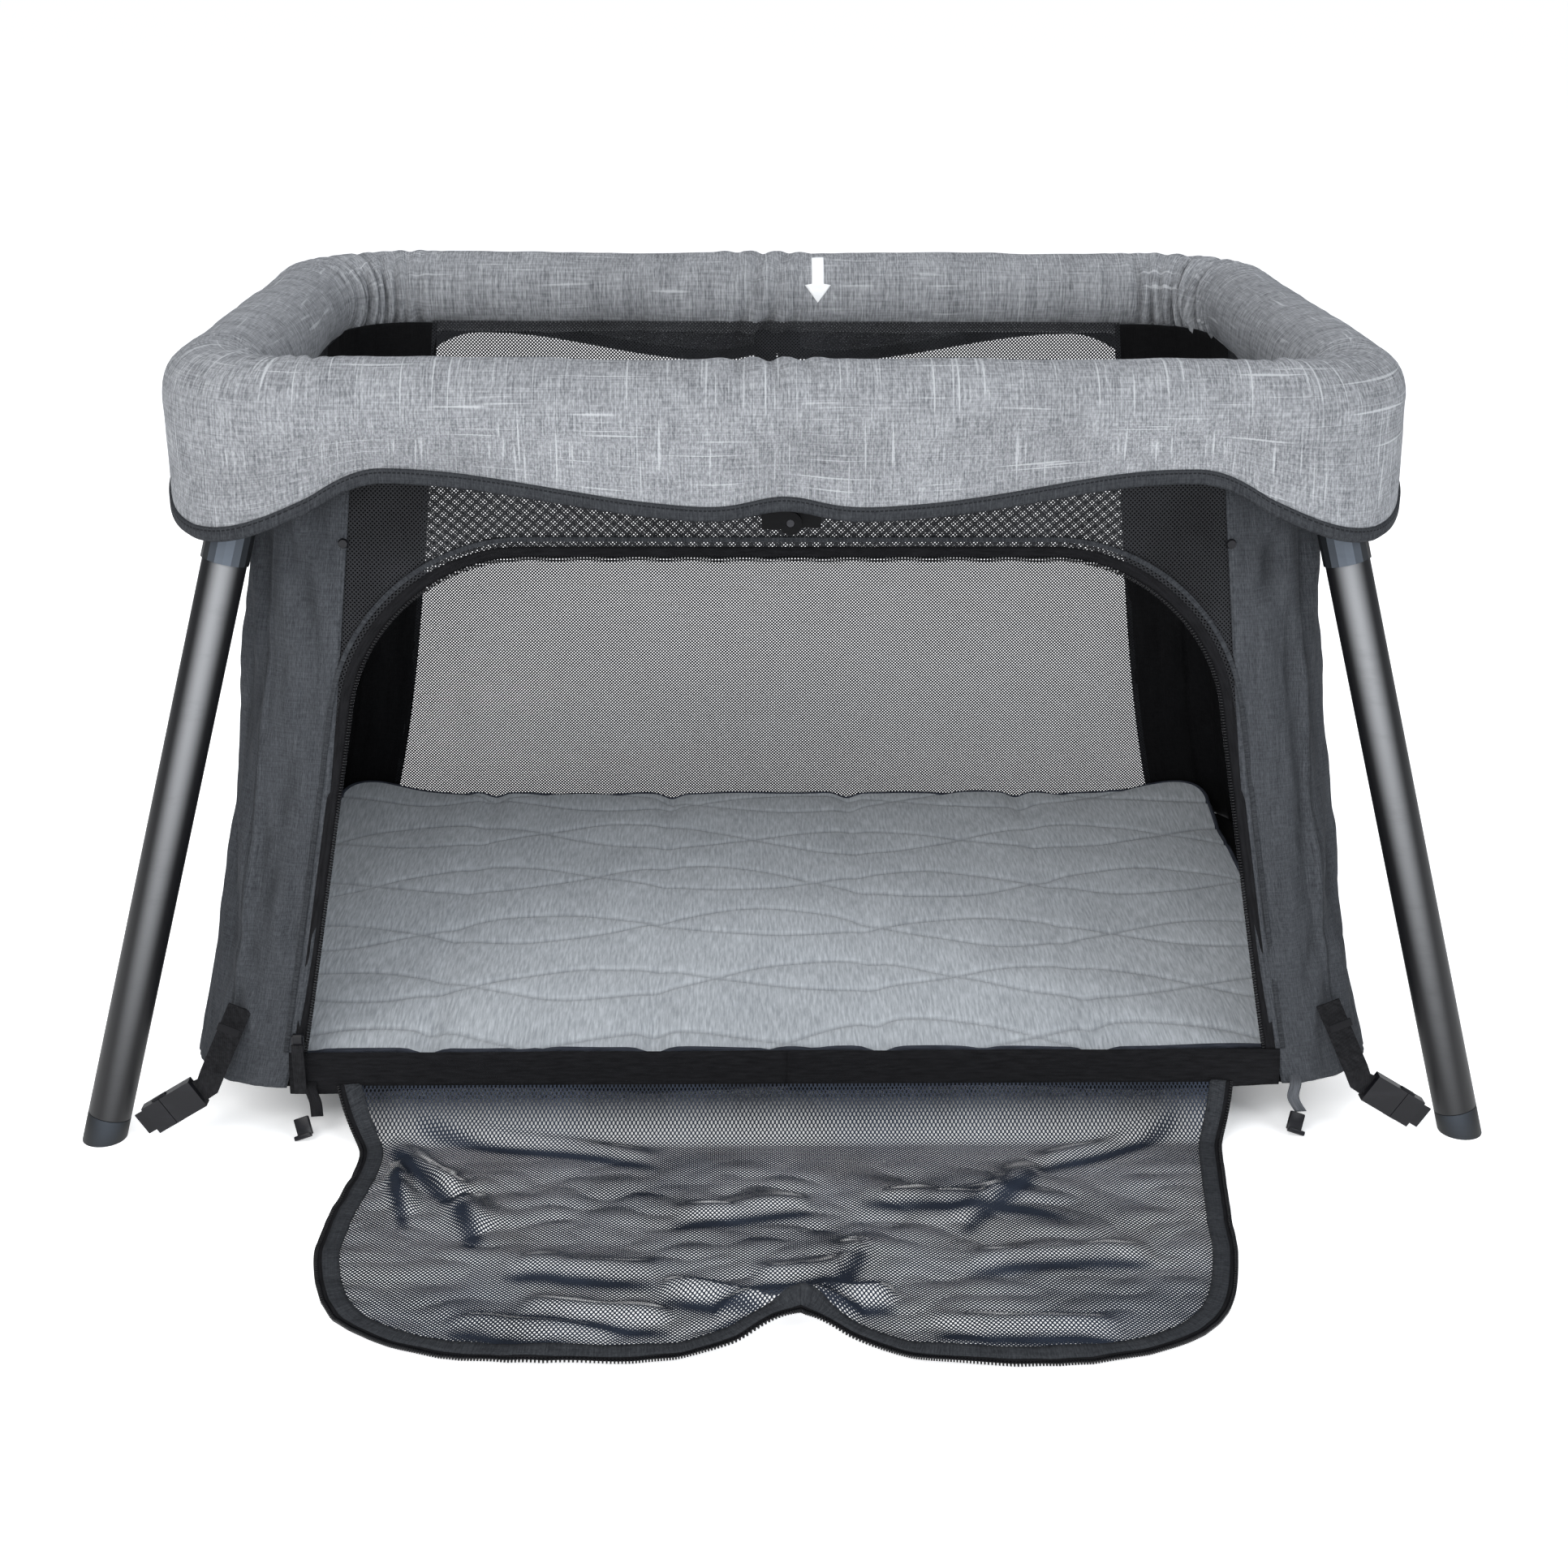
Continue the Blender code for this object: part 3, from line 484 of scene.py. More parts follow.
def clothGrid(name, columns, rows, place, look, thickness=None, lining=None, closeRows=False, uv=None,
              flip=False, stitchAndShade=None):
    # a sheet woven from a plain grid: place(u, v) gives each point, uv(u, v, point) its cloth coordinates
    bm = bmesh.new()
    layer = bm.loops.layers.uv.new("UVMap")
    # an optional per-point darkening for the cloth's colour: painted shade in creases and hollows, and on the
    # panels a dark stitch line
    deep = bm.verts.layers.float.new("stitchAndShade") if stitchAndShade else None
    bmesh.ops.create_grid(bm, x_segments=columns, y_segments=rows, size=0.5)
    shares = {vert: (vert.co.x + 0.5, vert.co.y + 0.5) for vert in bm.verts}
    points = {vert: place(*share) for vert, share in shares.items()}
    for face in bm.faces:
        for loop in face.loops:
            u, v = shares[loop.vert]
            loop[layer].uv = uv(u, v, points[loop.vert]) if uv else (u, v)
    for vert, point in points.items():
        vert.co = point
        if stitchAndShade:
            vert[deep] = min(max(stitchAndShade(*shares[vert]), 0.0), 1.0)
    if closeRows:
        bmesh.ops.remove_doubles(bm, verts=bm.verts, dist=0.00001)
    if flip:
        bmesh.ops.reverse_faces(bm, faces=bm.faces)
    piece = finishMesh(name, bm, look, lining)
    if thickness:
        skin = piece.modifiers.new("thickness", "SOLIDIFY")
        skin.thickness = thickness
        skin.offset = 0.0
        skin.use_rim = "net" not in name  # two nets that meet show no edge
        if lining:
            skin.material_offset = 1
    return piece


def topUv(u, v, point):
    return point.x, point.y


def frontUv(u, v, point):
    return point.x, point.z


def endUv(u, v, point):
    return point.y, point.z


def bandUv(length, width, start=0.0):
    return lambda u, v, point: (u * length, start + width * v)


def makeTeeth(name, places, size):
    bm = bmesh.new()
    shape = Matrix.Diagonal((*size, 1.0))
    for spot, turn in places:
        bmesh.ops.create_cube(bm, size=1.0, matrix=Matrix.Translation(spot) @ turn @ shape)
    return finishMesh(name, bm, "teeth")


def paintPoints(piece, name, value):
    layer = piece.data.attributes.new(name, "FLOAT", "POINT")
    for item, vert in zip(layer.data, piece.data.vertices):
        item.value = min(max(value(vert.co), 0.0), 1.0)


def roundedPlan(halfX, halfY, radius):
    # one lap of a rounded rectangle, from the front middle round by the right
    straight, arc, end = halfX - radius, radius * math.pi / 2, 2 * (halfY - radius)
    lap = 4 * straight + 4 * arc + 2 * end

    def place(distance):
        distance = distance % lap
        mirrored = distance > lap / 2
        if mirrored:
            distance = lap - distance
        if distance < straight:
            x, y, outX, outY = distance, -halfY, 0.0, -1.0
        elif distance < straight + arc:
            angle = (distance - straight) / radius - math.pi / 2
            outX, outY = math.cos(angle), math.sin(angle)
            x, y = straight + radius * outX, radius - halfY + radius * outY
        elif distance < straight + arc + end:
            x, y, outX, outY = halfX, radius - halfY + distance - straight - arc, 1.0, 0.0
        elif distance < straight + 2 * arc + end:
            angle = (distance - straight - arc - end) / radius
            outX, outY = math.cos(angle), math.sin(angle)
            x, y = straight + radius * outX, halfY - radius + radius * outY
        else:
            x, y, outX, outY = straight - (distance - straight - 2 * arc - end), halfY, 0.0, 1.0
        side = -1.0 if mirrored else 1.0
        return x * side, y + midY, outX * side, outY

    return place, lap


railPlace, railLap = roundedPlan(railX, railY, rail["corner"])
cornerMiddles = [railX - rail["corner"] + rail["corner"] * math.pi / 4]
cornerMiddles.append(cornerMiddles[0] + rail["corner"] * math.pi / 2 + 2 * (railY - rail["corner"]))
cornerMiddles += [railLap - c for c in cornerMiddles]


def hemDrop(x, y, outY):
    onLongSide = abs(outY) > 0.7
    along = abs(x) if onLongSide else abs(y - midY)
    high, low = (rail["highX"], rail["lowX"]) if onLongSide else (rail["highY"], rail["lowY"])
    if along > high:
        share = ease((along - high) / (low - high))
        return rail["highDrop"] + (rail["cornerDrop"] - rail["highDrop"]) * share
    middle = rail["middleDrop"] if onLongSide else rail["highDrop"] + 0.006
    lift = 0.010 * bell(x + 0.005, 0.035) if onLongSide else 0.0
    return middle - lift + (rail["highDrop"] - middle) * ease((along / high) ** 1.25)


def railCrease(distance, around, x, y, outY):
    # how far the cover stands off the foam: gathers in the corners, puckers over the middle hinges
    off = 0.0
    inner = ease((around - 0.50) / 0.25)
    for middle in cornerMiddles:
        away = (distance - middle + railLap / 2) % railLap - railLap / 2
        weight = math.exp(-(away / 0.085) ** 4)
        if weight < 0.01:
            continue
        sway = 0.012 * wobble(x * 9, y * 9, around * 3)
        gather = wave((away + sway + 0.012 * around) / 0.017)
        gather += 0.6 * math.sin(2 * math.pi * (away - sway) / 0.029 + 1.3)
        rough = 0.6 + 0.9 * wobble(x * 22, y * 22, around * 5)
        off += weight * (0.0006 + 0.0040 * inner) * gather * rough * ease((around - 0.40) / 0.12)
        slant = away + 0.05 * (around - 0.62)
        off -= 0.0050 * (bell(slant - 0.012, 0.0045) + bell(slant + 0.020, 0.004)) * inner
        off += 0.0035 * bell(slant, 0.012) * inner
    if abs(outY) > 0.9:
        seam = bell(x + 0.012, 0.035)
        ripple = wave((x + 0.06 * (around - 0.45) + 0.01 * wobble(x * 18, around * 4)) / 0.026)
        off += seam * 0.0024 * ripple * (0.15 + 0.85 * ease((around - 0.40) / 0.15))
    crinkle = wobble(x * 30 + around * 14, y * 30 - around * 9, around * 4.0)
    off += 0.0022 * wobble(x * 9, y * 9, around * 2.2) + 0.0009 * wobble(x * 34, y * 34, around * 9)
    off += 0.0024 * inner * (0.45 - abs(crinkle)) * (0.5 + wobble(x * 6, y * 6, 2.0))
    return off


def lapDistance(u):
    # the cover's own seam is hidden in the gathers of a back corner
    return (u * railLap + cornerMiddles[1]) % railLap


def coverPoint(u, v):
    distance = lapDistance(u)
    x, y, outX, outY = railPlace(distance)
    drop = hemDrop(x, y, outY)
    roll, skirt = rail["roll"], rail["skirt"]
    crease = railCrease(distance, v, x, y, outY)
    if v < skirt:
        share = v / skirt
        hang = (1 - share) ** 1.5
        reach = roll + 0.0015 * hang + crease * (0.5 + 0.8 * share)
        ripple = math.sin(2 * math.pi * (x + y) / 0.21 + 0.8) * (0.4 + wobble(x * 3, y * 3, 5.0))
        reach += 0.0024 * hang * ripple
        up = -drop * (1 - share)
    else:
        angle = rail["wrap"] * (v - skirt) / (1 - skirt)
        swell = roll + crease
        reach, up = swell * math.cos(angle), swell * math.sin(angle)
    return Vector((x + outX * reach, y + outY * reach, railZ + min(up, roll + 0.001)))


def coverUv(u, v, point):
    return (u * railLap, point.z * 0.25 + v * 0.20)


# painted shade for the rail cover: darker where its creases sink in and on the roll's underside inside the pen
def coverShade(u, v):
    distance = lapDistance(u)
    x, y, outX, outY = railPlace(distance)
    under = 0.45 * ease((v - 0.80) / 0.14)  # painted shade on the roll's underside inside the pen
    return under - railCrease(distance, v, x, y, outY) / 0.0065


railCover = clothGrid("rail_cover", rail["columns"], rail["rows"], coverPoint, "rail", rail["thickness"],
                      uv=coverUv, closeRows=True, stitchAndShade=coverShade)


def alongHem(name, profile, look, columns):
    # a closed strip swept along the hem; profile gives (out, up) pairs, first point last again
    count = len(profile) - 1
    lengths = [0.0]
    for first, second in zip(profile, profile[1:]):
        lengths.append(lengths[-1] + math.hypot(second[0] - first[0], second[1] - first[1]))

    def place(u, v):
        outX, outY = railPlace(lapDistance(u))[2:]
        base = coverPoint(u, 0.0)
        out, up = profile[min(int(round(v * count)), count)]
        return base + Vector((outX * out, outY * out, up))

    def uv(u, v, point):
        return (u * railLap, lengths[min(int(round(v * count)), count)])

    return clothGrid(name, columns, count, place, look, uv=uv, closeRows=True)


hem = {"tall": 0.0105, "thick": 0.0026, "shoulder": 0.009, "corner": 0.001, "under": -0.0012}
hemProfile = [(hem["thick"], hem["shoulder"]), (hem["thick"] * 0.6, hem["tall"]),
              (-hem["thick"] * 0.6, hem["tall"]), (-hem["thick"], hem["shoulder"]),
              (-hem["thick"], hem["corner"]), (0.0, hem["under"]), (hem["thick"], hem["corner"])]
hemProfile.append(hemProfile[0])
hemBinding = alongHem("hem_binding", list(reversed(hemProfile)), "binding", 760)


def makeArrow():
    # a plain arrow printed on the inner face of the back rail, where a hand presses to fold it
    arrow = {"x": 0.040, "top": 0.637, "bottom": 0.598, "shaft": 0.006, "head": 0.0135, "headTall": 0.017}

    def place(u, v):
        height = arrow["top"] + (arrow["bottom"] - arrow["top"]) * v
        tip = (height - arrow["bottom"]) / arrow["headTall"]
        width = arrow["head"] * tip if tip < 1 else arrow["shaft"]
        x = arrow["x"] + (u - 0.5) * 2 * width
        distance = railLap / 2 - x
        rise = min((height - railZ) / rail["roll"], 0.97)
        angle = math.pi - math.asin(rise)
        around = rail["skirt"] + (1 - rail["skirt"]) * angle / rail["wrap"]
        px, py, outX, outY = railPlace(distance)
        swell = rail["roll"] + railCrease(distance, around, px, py, outY) + rail["thickness"] / 2 + 0.0004
        reach = swell * math.cos(angle)
        return Vector((px + outX * reach, py + outY * reach, railZ + swell * math.sin(angle)))

    return clothGrid("press_arrow", 8, 36, place, "print", 0.0002, uv=frontUv)


pressArrow = makeArrow()
print("rail cover made")


def slingHalf(top, spread, flare, z):
    fall = (slingTop - z) / (slingTop - slingLow)
    return top + spread * fall + flare * max(fall, 0.0) ** 4


def halfX(z):
    return slingHalf(sling["topX"], slingSpreadX, sling["flareX"], z)


def halfY(z):
    return slingHalf(sling["topY"], slingSpreadY, sling["flareY"], z)


def slingPoint(share, z, offset=0.0, side=1):
    # share runs 0 to 5: front, corner, end, corner, back
    radius = sling["radius"] + offset
    straightX = halfX(z) + offset - radius
    straightY = halfY(z) + offset - radius
    stage = min(int(share), 4)
    t = share - stage
    if stage == 0:
        point = (straightX * t, -straightY - radius)
    elif stage == 2:
        point = (straightX + radius, -straightY + 2 * straightY * t)
    elif stage == 4:
        point = (straightX * (1 - t), straightY + radius)
    else:
        angle = math.radians((-90 if stage == 1 else 0) + 90 * t)
        middle = -straightY if stage == 1 else straightY
        point = (straightX + radius * math.cos(angle), middle + radius * math.sin(angle))
    return Vector((side * point[0], point[1] + midY, z))


def archHalf(height):
    height = min(max(height, 0.0), arch["height"])
    width = arch["half"] - (arch["half"] - arch["topHalf"]) * height / arch["height"]
    rise = height - (arch["height"] - arch["corner"])
    if rise > 0:
        width -= arch["corner"] - math.sqrt(max(arch["corner"] ** 2 - rise ** 2, 0.0))
    return width


def archPlace(share):
    # (x, z, outward x, outward z) up one side of the arch to its top middle, share 0 to 1
    upright = arch["height"] - arch["corner"]
    turn = arch["corner"] * math.pi / 2
    topHalf = archHalf(arch["height"])
    total = upright + turn + topHalf
    distance = share * total
    lean = (arch["half"] - arch["topHalf"]) / arch["height"]
    if distance < upright:
        return archHalf(distance), sillZ + distance, 1.0, lean, total
    if distance < upright + turn:
        angle = (distance - upright) / arch["corner"]
        height = upright + arch["corner"] * math.sin(angle)
        return archHalf(height), sillZ + height, math.cos(angle), math.sin(angle), total
    return topHalf * (1 - (distance - upright - turn) / topHalf), sillZ + arch["height"], 0.0, 1.0, total


def frontWall(x, z, side, offset=0.0):
    slack = 0.0016 * wobble(x * 11, z * 7, 3.0) + 0.0006 * wobble(x * 40, z * 30, 9.0)
    return Vector((side * x, midY - halfY(z) - offset + slack * ease((slingTop - z) / 0.1), z))


wallTop = slingTop + 0.022


def wallMotion(piece, label):
    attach(piece, label + "_frame")
    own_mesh(piece)


def makeWalls(label, side):
    margin = arch["tape"] - 0.001

    def frontPoint(u, v):
        x, z, outX, outZ, _ = archPlace(u)
        inner = Vector((x + outX * margin, z + outZ * margin))
        corner = 0.70  # where the top corner of the panel meets the arch's round
        if u < corner:
            high = sillZ - 0.012 + (wallTop - sillZ + 0.012) * (u / corner)
            outer = Vector((halfX(high) - sling["radius"], high))
        else:
            outer = Vector(((halfX(wallTop) - sling["radius"]) * (1 - (u - corner) / (1 - corner)), wallTop))
        spot = inner.lerp(outer, v)
        return frontWall(max(spot.x, 0.0), spot.y, side)

    front = clothGrid("net_front_" + label, 90, 14, frontPoint, "net", 0.0006, uv=frontUv, flip=side < 0)
    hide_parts("mesh_front_" + label)

    def backPoint(u, v):
        z = slingLow + (wallTop - slingLow) * v
        point = slingPoint(4 + u, z, 0.0, side)
        sag = 0.004 * math.sin(math.pi * v) * math.sin(math.pi * u) + 0.0015 * wobble(u * 5, v * 4, side)
        return point + Vector((0, sag, 0))

    back = clothGrid("net_back_" + label, 60, 60, backPoint, "net", 0.0006, uv=frontUv, flip=side > 0)
    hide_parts("mesh_back_" + label)

    def endPoint(u, v):
        z = slingLow + (wallTop - slingLow) * v
        low, high = 2 + endShare, 3 - endShare
        point = slingPoint(low + (high - low) * u, z, 0.0, side)
        return point + Vector((0.0015 * wobble(u * 4, v * 5, 2 + side), 0, 0))

    end = clothGrid("net_end_" + label, 50, 60, endPoint, "net", 0.0006, uv=endUv, flip=side < 0)
    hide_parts("mesh_end_" + label)
    return front, back, end


endShare = 0.060 / (2 * (sling["topY"] - sling["radius"]))


panelFolds = [
    # share and height (0 to 1) of both ends, depth and width in metres
    (1.35, 0.97, 1.00, 0.72, 0.0065, 0.010), (1.46, 0.90, 1.14, 0.62, 0.0050, 0.009),
    (1.30, 0.62, 0.99, 0.44, 0.0040, 0.012), (1.75, 0.95, 1.52, 0.60, 0.0050, 0.010),
    (1.68, 0.50, 1.40, 0.24, 0.0040, 0.012), (1.25, 0.30, 1.00, 0.16, 0.0050, 0.009),
    (1.50, 0.22, 1.22, 0.06, 0.0040, 0.008), (1.90, 0.40, 1.62, 0.10, 0.0045, 0.012),
    (3.62, 0.95, 3.98, 0.66, 0.0060, 0.010), (3.50, 0.60, 3.85, 0.30, 0.0045, 0.011),
]


def fromLine(spot, start, end):
    # how far along the line from start to end the spot is, 0 to 1, and how far to its side
    along, rel = end - start, spot - start
    return rel.dot(along) / along.length_squared, (rel.x * along.y - rel.y * along.x) / along.length


panelScale = Vector((0.125, 0.52))  # metres for one share along the curve, and for the height


def panelFold(share, v):
    # soft diagonal pulls in the cloth
    spot = Vector((share, v)) * panelScale
    spot += 0.006 * Vector((wobble(share * 5, v * 6), wobble(v * 5, share * 4, 3.0)))
    deep = 0.0
    for s1, v1, s2, v2, depth, width in panelFolds:
        t, away = fromLine(spot, Vector((s1, v1)) * panelScale, Vector((s2, v2)) * panelScale)
        if not 0 < t < 1:
            continue
        fade = math.sin(math.pi * t) ** 0.7
        deep += depth * fade * (bell(away, width) - 0.6 * bell(away - width * 1.5, width))
    return deep


def panelPoint(first, last, side, seam):
    def place(u, v):
        z = slingLow - 0.002 + 0.0015 * math.sin(math.pi * u) + (wallTop - slingLow) * v
        return slingPoint(first + (last - first) * u, z, relief(u, v), side)

    def relief(u, v):
        share = first + (last - first) * u
        ridge = 0.0022 * bell(share - seam, 0.018)
        fold = 0.0045 * wave(share * 2.6 + 0.9 * v + 0.5 * wobble(v * 3, share * 2, side))
        fold *= max(math.sin(math.pi * min(v, 1.0)), 0.0) ** 0.6
        fold *= 0.3 + 1.6 * abs(wobble(share * 3, v * 2.6, 5 + side))
        crumple = 0.0030 * wobble(share * 7 + v * 3, v * 8, 8.0 + side)
        crumple += 0.0012 * wobble(share * 19, v * 26, 1.0)
        edge = math.sin(math.pi * u) ** 0.5 if 0 < u < 1 else 0.0
        fold += panelFold(share + 0.02 * side, v)
        return 0.0008 + ridge + (fold + crumple) * edge

    # painted shade in the concave folds and below the rail's skirt, and a dark stitch line beside the seam
    def stitchAndShade(u, v):
        share = first + (last - first) * u
        stitched = bell(share - seam - 0.03, 0.012)
        shadow = 0.5 * ease((v - 0.86) / 0.10)  # below the rail's skirt
        return max(0.6 * stitched, 0.002 - relief(u, v) / 0.0075, shadow)

    return place, stitchAndShade


def makePanels(label, side):
    for end, first, last, seam in (("front", 0.985, 2 + endShare, 1.45), ("back", 3 - endShare, 4.015, 3.55)):
        place, stitchAndShade = panelPoint(first, last, side, seam)
        piece = clothGrid("panel_{}_{}".format(end, label), 110, 150, place, "panel", 0.0016, lining="lining",
                          uv=bandUv(0.30, 0.52), flip=side < 0, stitchAndShade=stitchAndShade)
        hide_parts("corner_panel_{}_{}".format(end, label))
        wallMotion(piece, label)


band = {"tape": 0.0085, "net": (0.0080, 0.0130), "edge": (0.0125, 0.0165), "pitch": 0.0024,
        "tooth": (0.0013, 0.0022, 0.0034)}


def makeArchBand(label, side):
    # zip band round the opening: bound outer edge, net strip, tape at the inner edge, then the teeth
    total = archPlace(0)[4]

    def strip(name, low, high, offset, look, thickness, rows=4):
        def place(u, v):
            x, z, outX, outZ, _ = archPlace(u)
            reach = low + (high - low) * v
            return frontWall(max(x + outX * reach, 0.0), z + outZ * reach, side, offset)

        uv = bandUv(total, high - low, low)
        return clothGrid(name, 150, rows, place, look, thickness, uv=uv, flip=side < 0)

    tape = strip("arch_tape_" + label, 0.0, band["tape"], 0.0010, "tape", 0.0016)
    edge = strip("arch_edge_" + label, *band["edge"], 0.0014, "binding", 0.0026)
    net = strip("arch_net_" + label, *band["net"], 0.0006, "net", 0.0006, 2)
    places = []
    count = int(total / band["pitch"])
    for i in range(count):
        x, z, outX, outZ, _ = archPlace((i + 0.5) / count)
        spot = frontWall(x - outX * 0.0012, z - outZ * 0.0012, side, 0.0014)
        places.append((spot, Matrix.Rotation(math.atan2(outX, outZ) * side, 4, "Y")))
    teeth = makeTeeth("arch_teeth_" + label, places, band["tooth"])
    for piece in (tape, edge, net, teeth):
        wallMotion(piece, label)


def makeSill(label, side):
    def place(u, v):
        x = u * (arch["half"] + arch["tape"] - 0.004)
        z = slingLow - 0.004 + (arch["sill"] + 0.006) * v
        sag = 0.0025 * math.sin(3 * math.pi * u + side) * (1 - v)
        return frontWall(x, z - sag, side, 0.0018 + 0.0015 * math.sin(math.pi * v))

    sill = clothGrid("door_sill_" + label, 60, 6, place, "tape", 0.0022, uv=frontUv, flip=side < 0)
    wallMotion(sill, label)

    def under(u, v):
        low = slingLow - 0.0005
        reach = halfX(slingLow) - 0.0004
        x = reach * math.sin(0.5 * math.pi * u)  # closer rows toward the corners
        span = halfY(slingLow) - 0.0004
        if x > reach - sling["radius"]:
            over = x - (reach - sling["radius"])
            span -= sling["radius"] - math.sqrt(max(sling["radius"] ** 2 - over ** 2, 0.0))
        y = span * (2 * v - 1)
        return Vector((side * x, y + midY, low - 0.002 * abs(wobble(x * 6, y * 5, side))))

    floor = clothGrid("base_sheet_" + label, 60, 40, under, "lining", 0.0015, uv=topUv, flip=side < 0)
    wallMotion(floor, label)
    return sill, floor


for label, side in (("left", -1), ("right", 1)):
    front, back, end = makeWalls(label, side)
    for piece in (front, back, end):
        wallMotion(piece, label)
    makePanels(label, side)
    makeArchBand(label, side)
    sill, floor = makeSill(label, side)
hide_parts("floor_sheet")
print("sling made")


def quiltHeight(x, y):
    # long wavy pairs of quilting lines that part and meet
    deep = 0.0
    for row in range(6):
        base = -0.29 + row * 0.112
        for sign in (-1, 1):
            line = base + sign * 0.030 * wave((x + 0.06 * row) / 0.43) + 0.012 * math.sin(9 * x + row)
            away = abs(y - line)
            deep = max(deep, 0.6 * bell(away, 0.0032) + 0.4 * math.exp(-away / 0.014))
    return deep


pad = {
    "inset": 0.016,
    "radius": 0.045,
    "folds": [-0.303, -0.112, 0.079, 0.264],  # x of the creases across it
    "crown": 0.006,
    "raised": 0.016,  # height of the raised back corners
    "corner": 0.12,  # how far they reach in
    "side": 0.007,
    "piping": 0.0027,
}


def makeMattress():
    low, high = mattressBox
    half = Vector(((high.x - low.x) / 2 - pad["inset"], (high.y - low.y) / 2))
    radius, corner = pad["radius"], pad["corner"]
    padPlace, padLap = roundedPlan(half.x, half.y, radius)

    def outline(t):
        return padPlace(t * padLap)

    def height(x, y):
        crown = pad["crown"] * (1 - (abs(x) / half.x) ** 6) * (1 - (abs(y) / half.y) ** 6)
        crease = max(bell(x - fold, 0.011) for fold in pad["folds"])
        fade = 0.35 + 0.65 * ease((abs(y) - half.y + corner) / corner)
        lift = pad["raised"] * ease((abs(x) - half.x + corner) / corner) * ease((y - half.y + 0.14) / 0.14)
        soft = 0.0022 * wobble(x * 6, y * 7, 2.0) + 0.0018 * wobble(x * 17, y * 19, 6.0)
        return high.z - 0.004 + crown - 0.0060 * crease * fade - 0.0030 * quiltHeight(x, y) + lift + soft

    bm = bmesh.new()
    layer = bm.loops.layers.uv.new("UVMap")
    bmesh.ops.create_grid(bm, x_segments=330, y_segments=210, size=0.5)
    for vert in bm.verts:
        u, v = vert.co.x * 2, vert.co.y * 2
        x, y = u * half.x, v * half.y
        overX, overY = abs(x) - (half.x - radius), abs(y) - (half.y - radius)
        if overX > 0 and overY > 0:
            reach = max(overX, overY)
            pull = reach / math.hypot(overX, overY)
            x = math.copysign(half.x - radius + overX * pull, x)
            y = math.copysign(half.y - radius + overY * pull, y)
        vert.co = (x, y, 0)
    for face in bm.faces:
        for loop in face.loops:
            loop[layer].uv = (loop.vert.co.x, loop.vert.co.y)
    for vert in bm.verts:
        vert.co.z = height(vert.co.x, vert.co.y)
    edges = [edge for edge in bm.edges if edge.is_boundary]
    # the side swells out under the piping, then comes in to the underside
    for level, growX, growY in ((None, 1.004, 1.006), (low.z + 0.001, 0.992, 0.990)):
        made = bmesh.ops.extrude_edge_only(bm, edges=edges)["geom"]
        for vert in [part for part in made if isinstance(part, bmesh.types.BMVert)]:
            vert.co = (vert.co.x * growX, vert.co.y * growY, vert.co.z - pad["side"] if level is None else level)
        edges = [part for part in made if isinstance(part, bmesh.types.BMEdge)]
    bmesh.ops.holes_fill(bm, edges=edges)
    bmesh.ops.recalc_face_normals(bm, faces=bm.faces)
    for vert in bm.verts:
        vert.co.y += midY
    piece = finishMesh("mattress_pad", bm, "jersey")
    # marks the quilting lines, where the jersey's colour is darkened as painted shade
    paintPoints(piece, "quilt", lambda p: max(quiltHeight(p.x, p.y - midY) * 2.2 - 1.2, 0.0))
    piece.data.set_sharp_from_angle(angle=math.radians(60))

    def pipe(u, v):
        x, y, outX, outY = outline(u)
        angle = 2 * math.pi * v
        swell = pad["piping"]
        reach = 0.0005 + swell * math.cos(angle)
        centre = height(x, y - midY) - 0.0015
        return Vector((x + outX * reach, y + outY * reach, centre + swell * math.sin(angle)))

    piping = clothGrid("mattress_piping", 420, 8, pipe, "piping", uv=bandUv(3, 0.015), closeRows=True)
    return piece, piping


mattressPad, mattressPiping = makeMattress()
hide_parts("mattress")
for piece in (mattressPad, mattressPiping):
    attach(piece, "mattress")
    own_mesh(piece)
print("mattress made")


doorLay = {
    # x and run of points along each half of its free edge
    "leftEdge": [(-0.372, 0), (-0.350, 0.055), (-0.349, 0.10), (-0.358, 0.17), (-0.358, 0.225),
                 (-0.340, 0.287), (-0.307, 0.322), (-0.262, 0.343), (-0.20, 0.354), (-0.12, 0.354),
                 (-0.06, 0.345), (0.004, 0.312)],
    "rightEdge": [(0.372, 0), (0.358, 0.055), (0.350, 0.11), (0.342, 0.17), (0.336, 0.225), (0.318, 0.290),
                  (0.286, 0.330), (0.238, 0.352), (0.18, 0.36), (0.11, 0.358), (0.06, 0.346), (0.004, 0.312)],
    "tape": 0.0045,
    "binding": 0.012,
    "drop": 0.052,  # run over which it comes down from the sill
    "gap": 0.006,
    "teeth": 620,
    "tooth": (0.0034, 0.0013, 0.0022),
}
doorFront = -halfY(slingLow) - doorLay["gap"]


def smoothLine(points, share):
    # a smooth curve through the points, share 0 to 1
    spot = share * (len(points) - 1)
    index = min(int(spot), len(points) - 2)
    t = spot - index
    p0 = Vector(points[max(index - 1, 0)])
    p1 = Vector(points[index])
    p2 = Vector(points[index + 1])
    p3 = Vector(points[min(index + 2, len(points) - 1)])
    return 0.5 * ((2 * p1) + (p2 - p0) * t + (2 * p0 - 5 * p1 + 4 * p2 - p3) * t * t
                  + (3 * p1 - p0 - 3 * p2 + p3) * t ** 3)


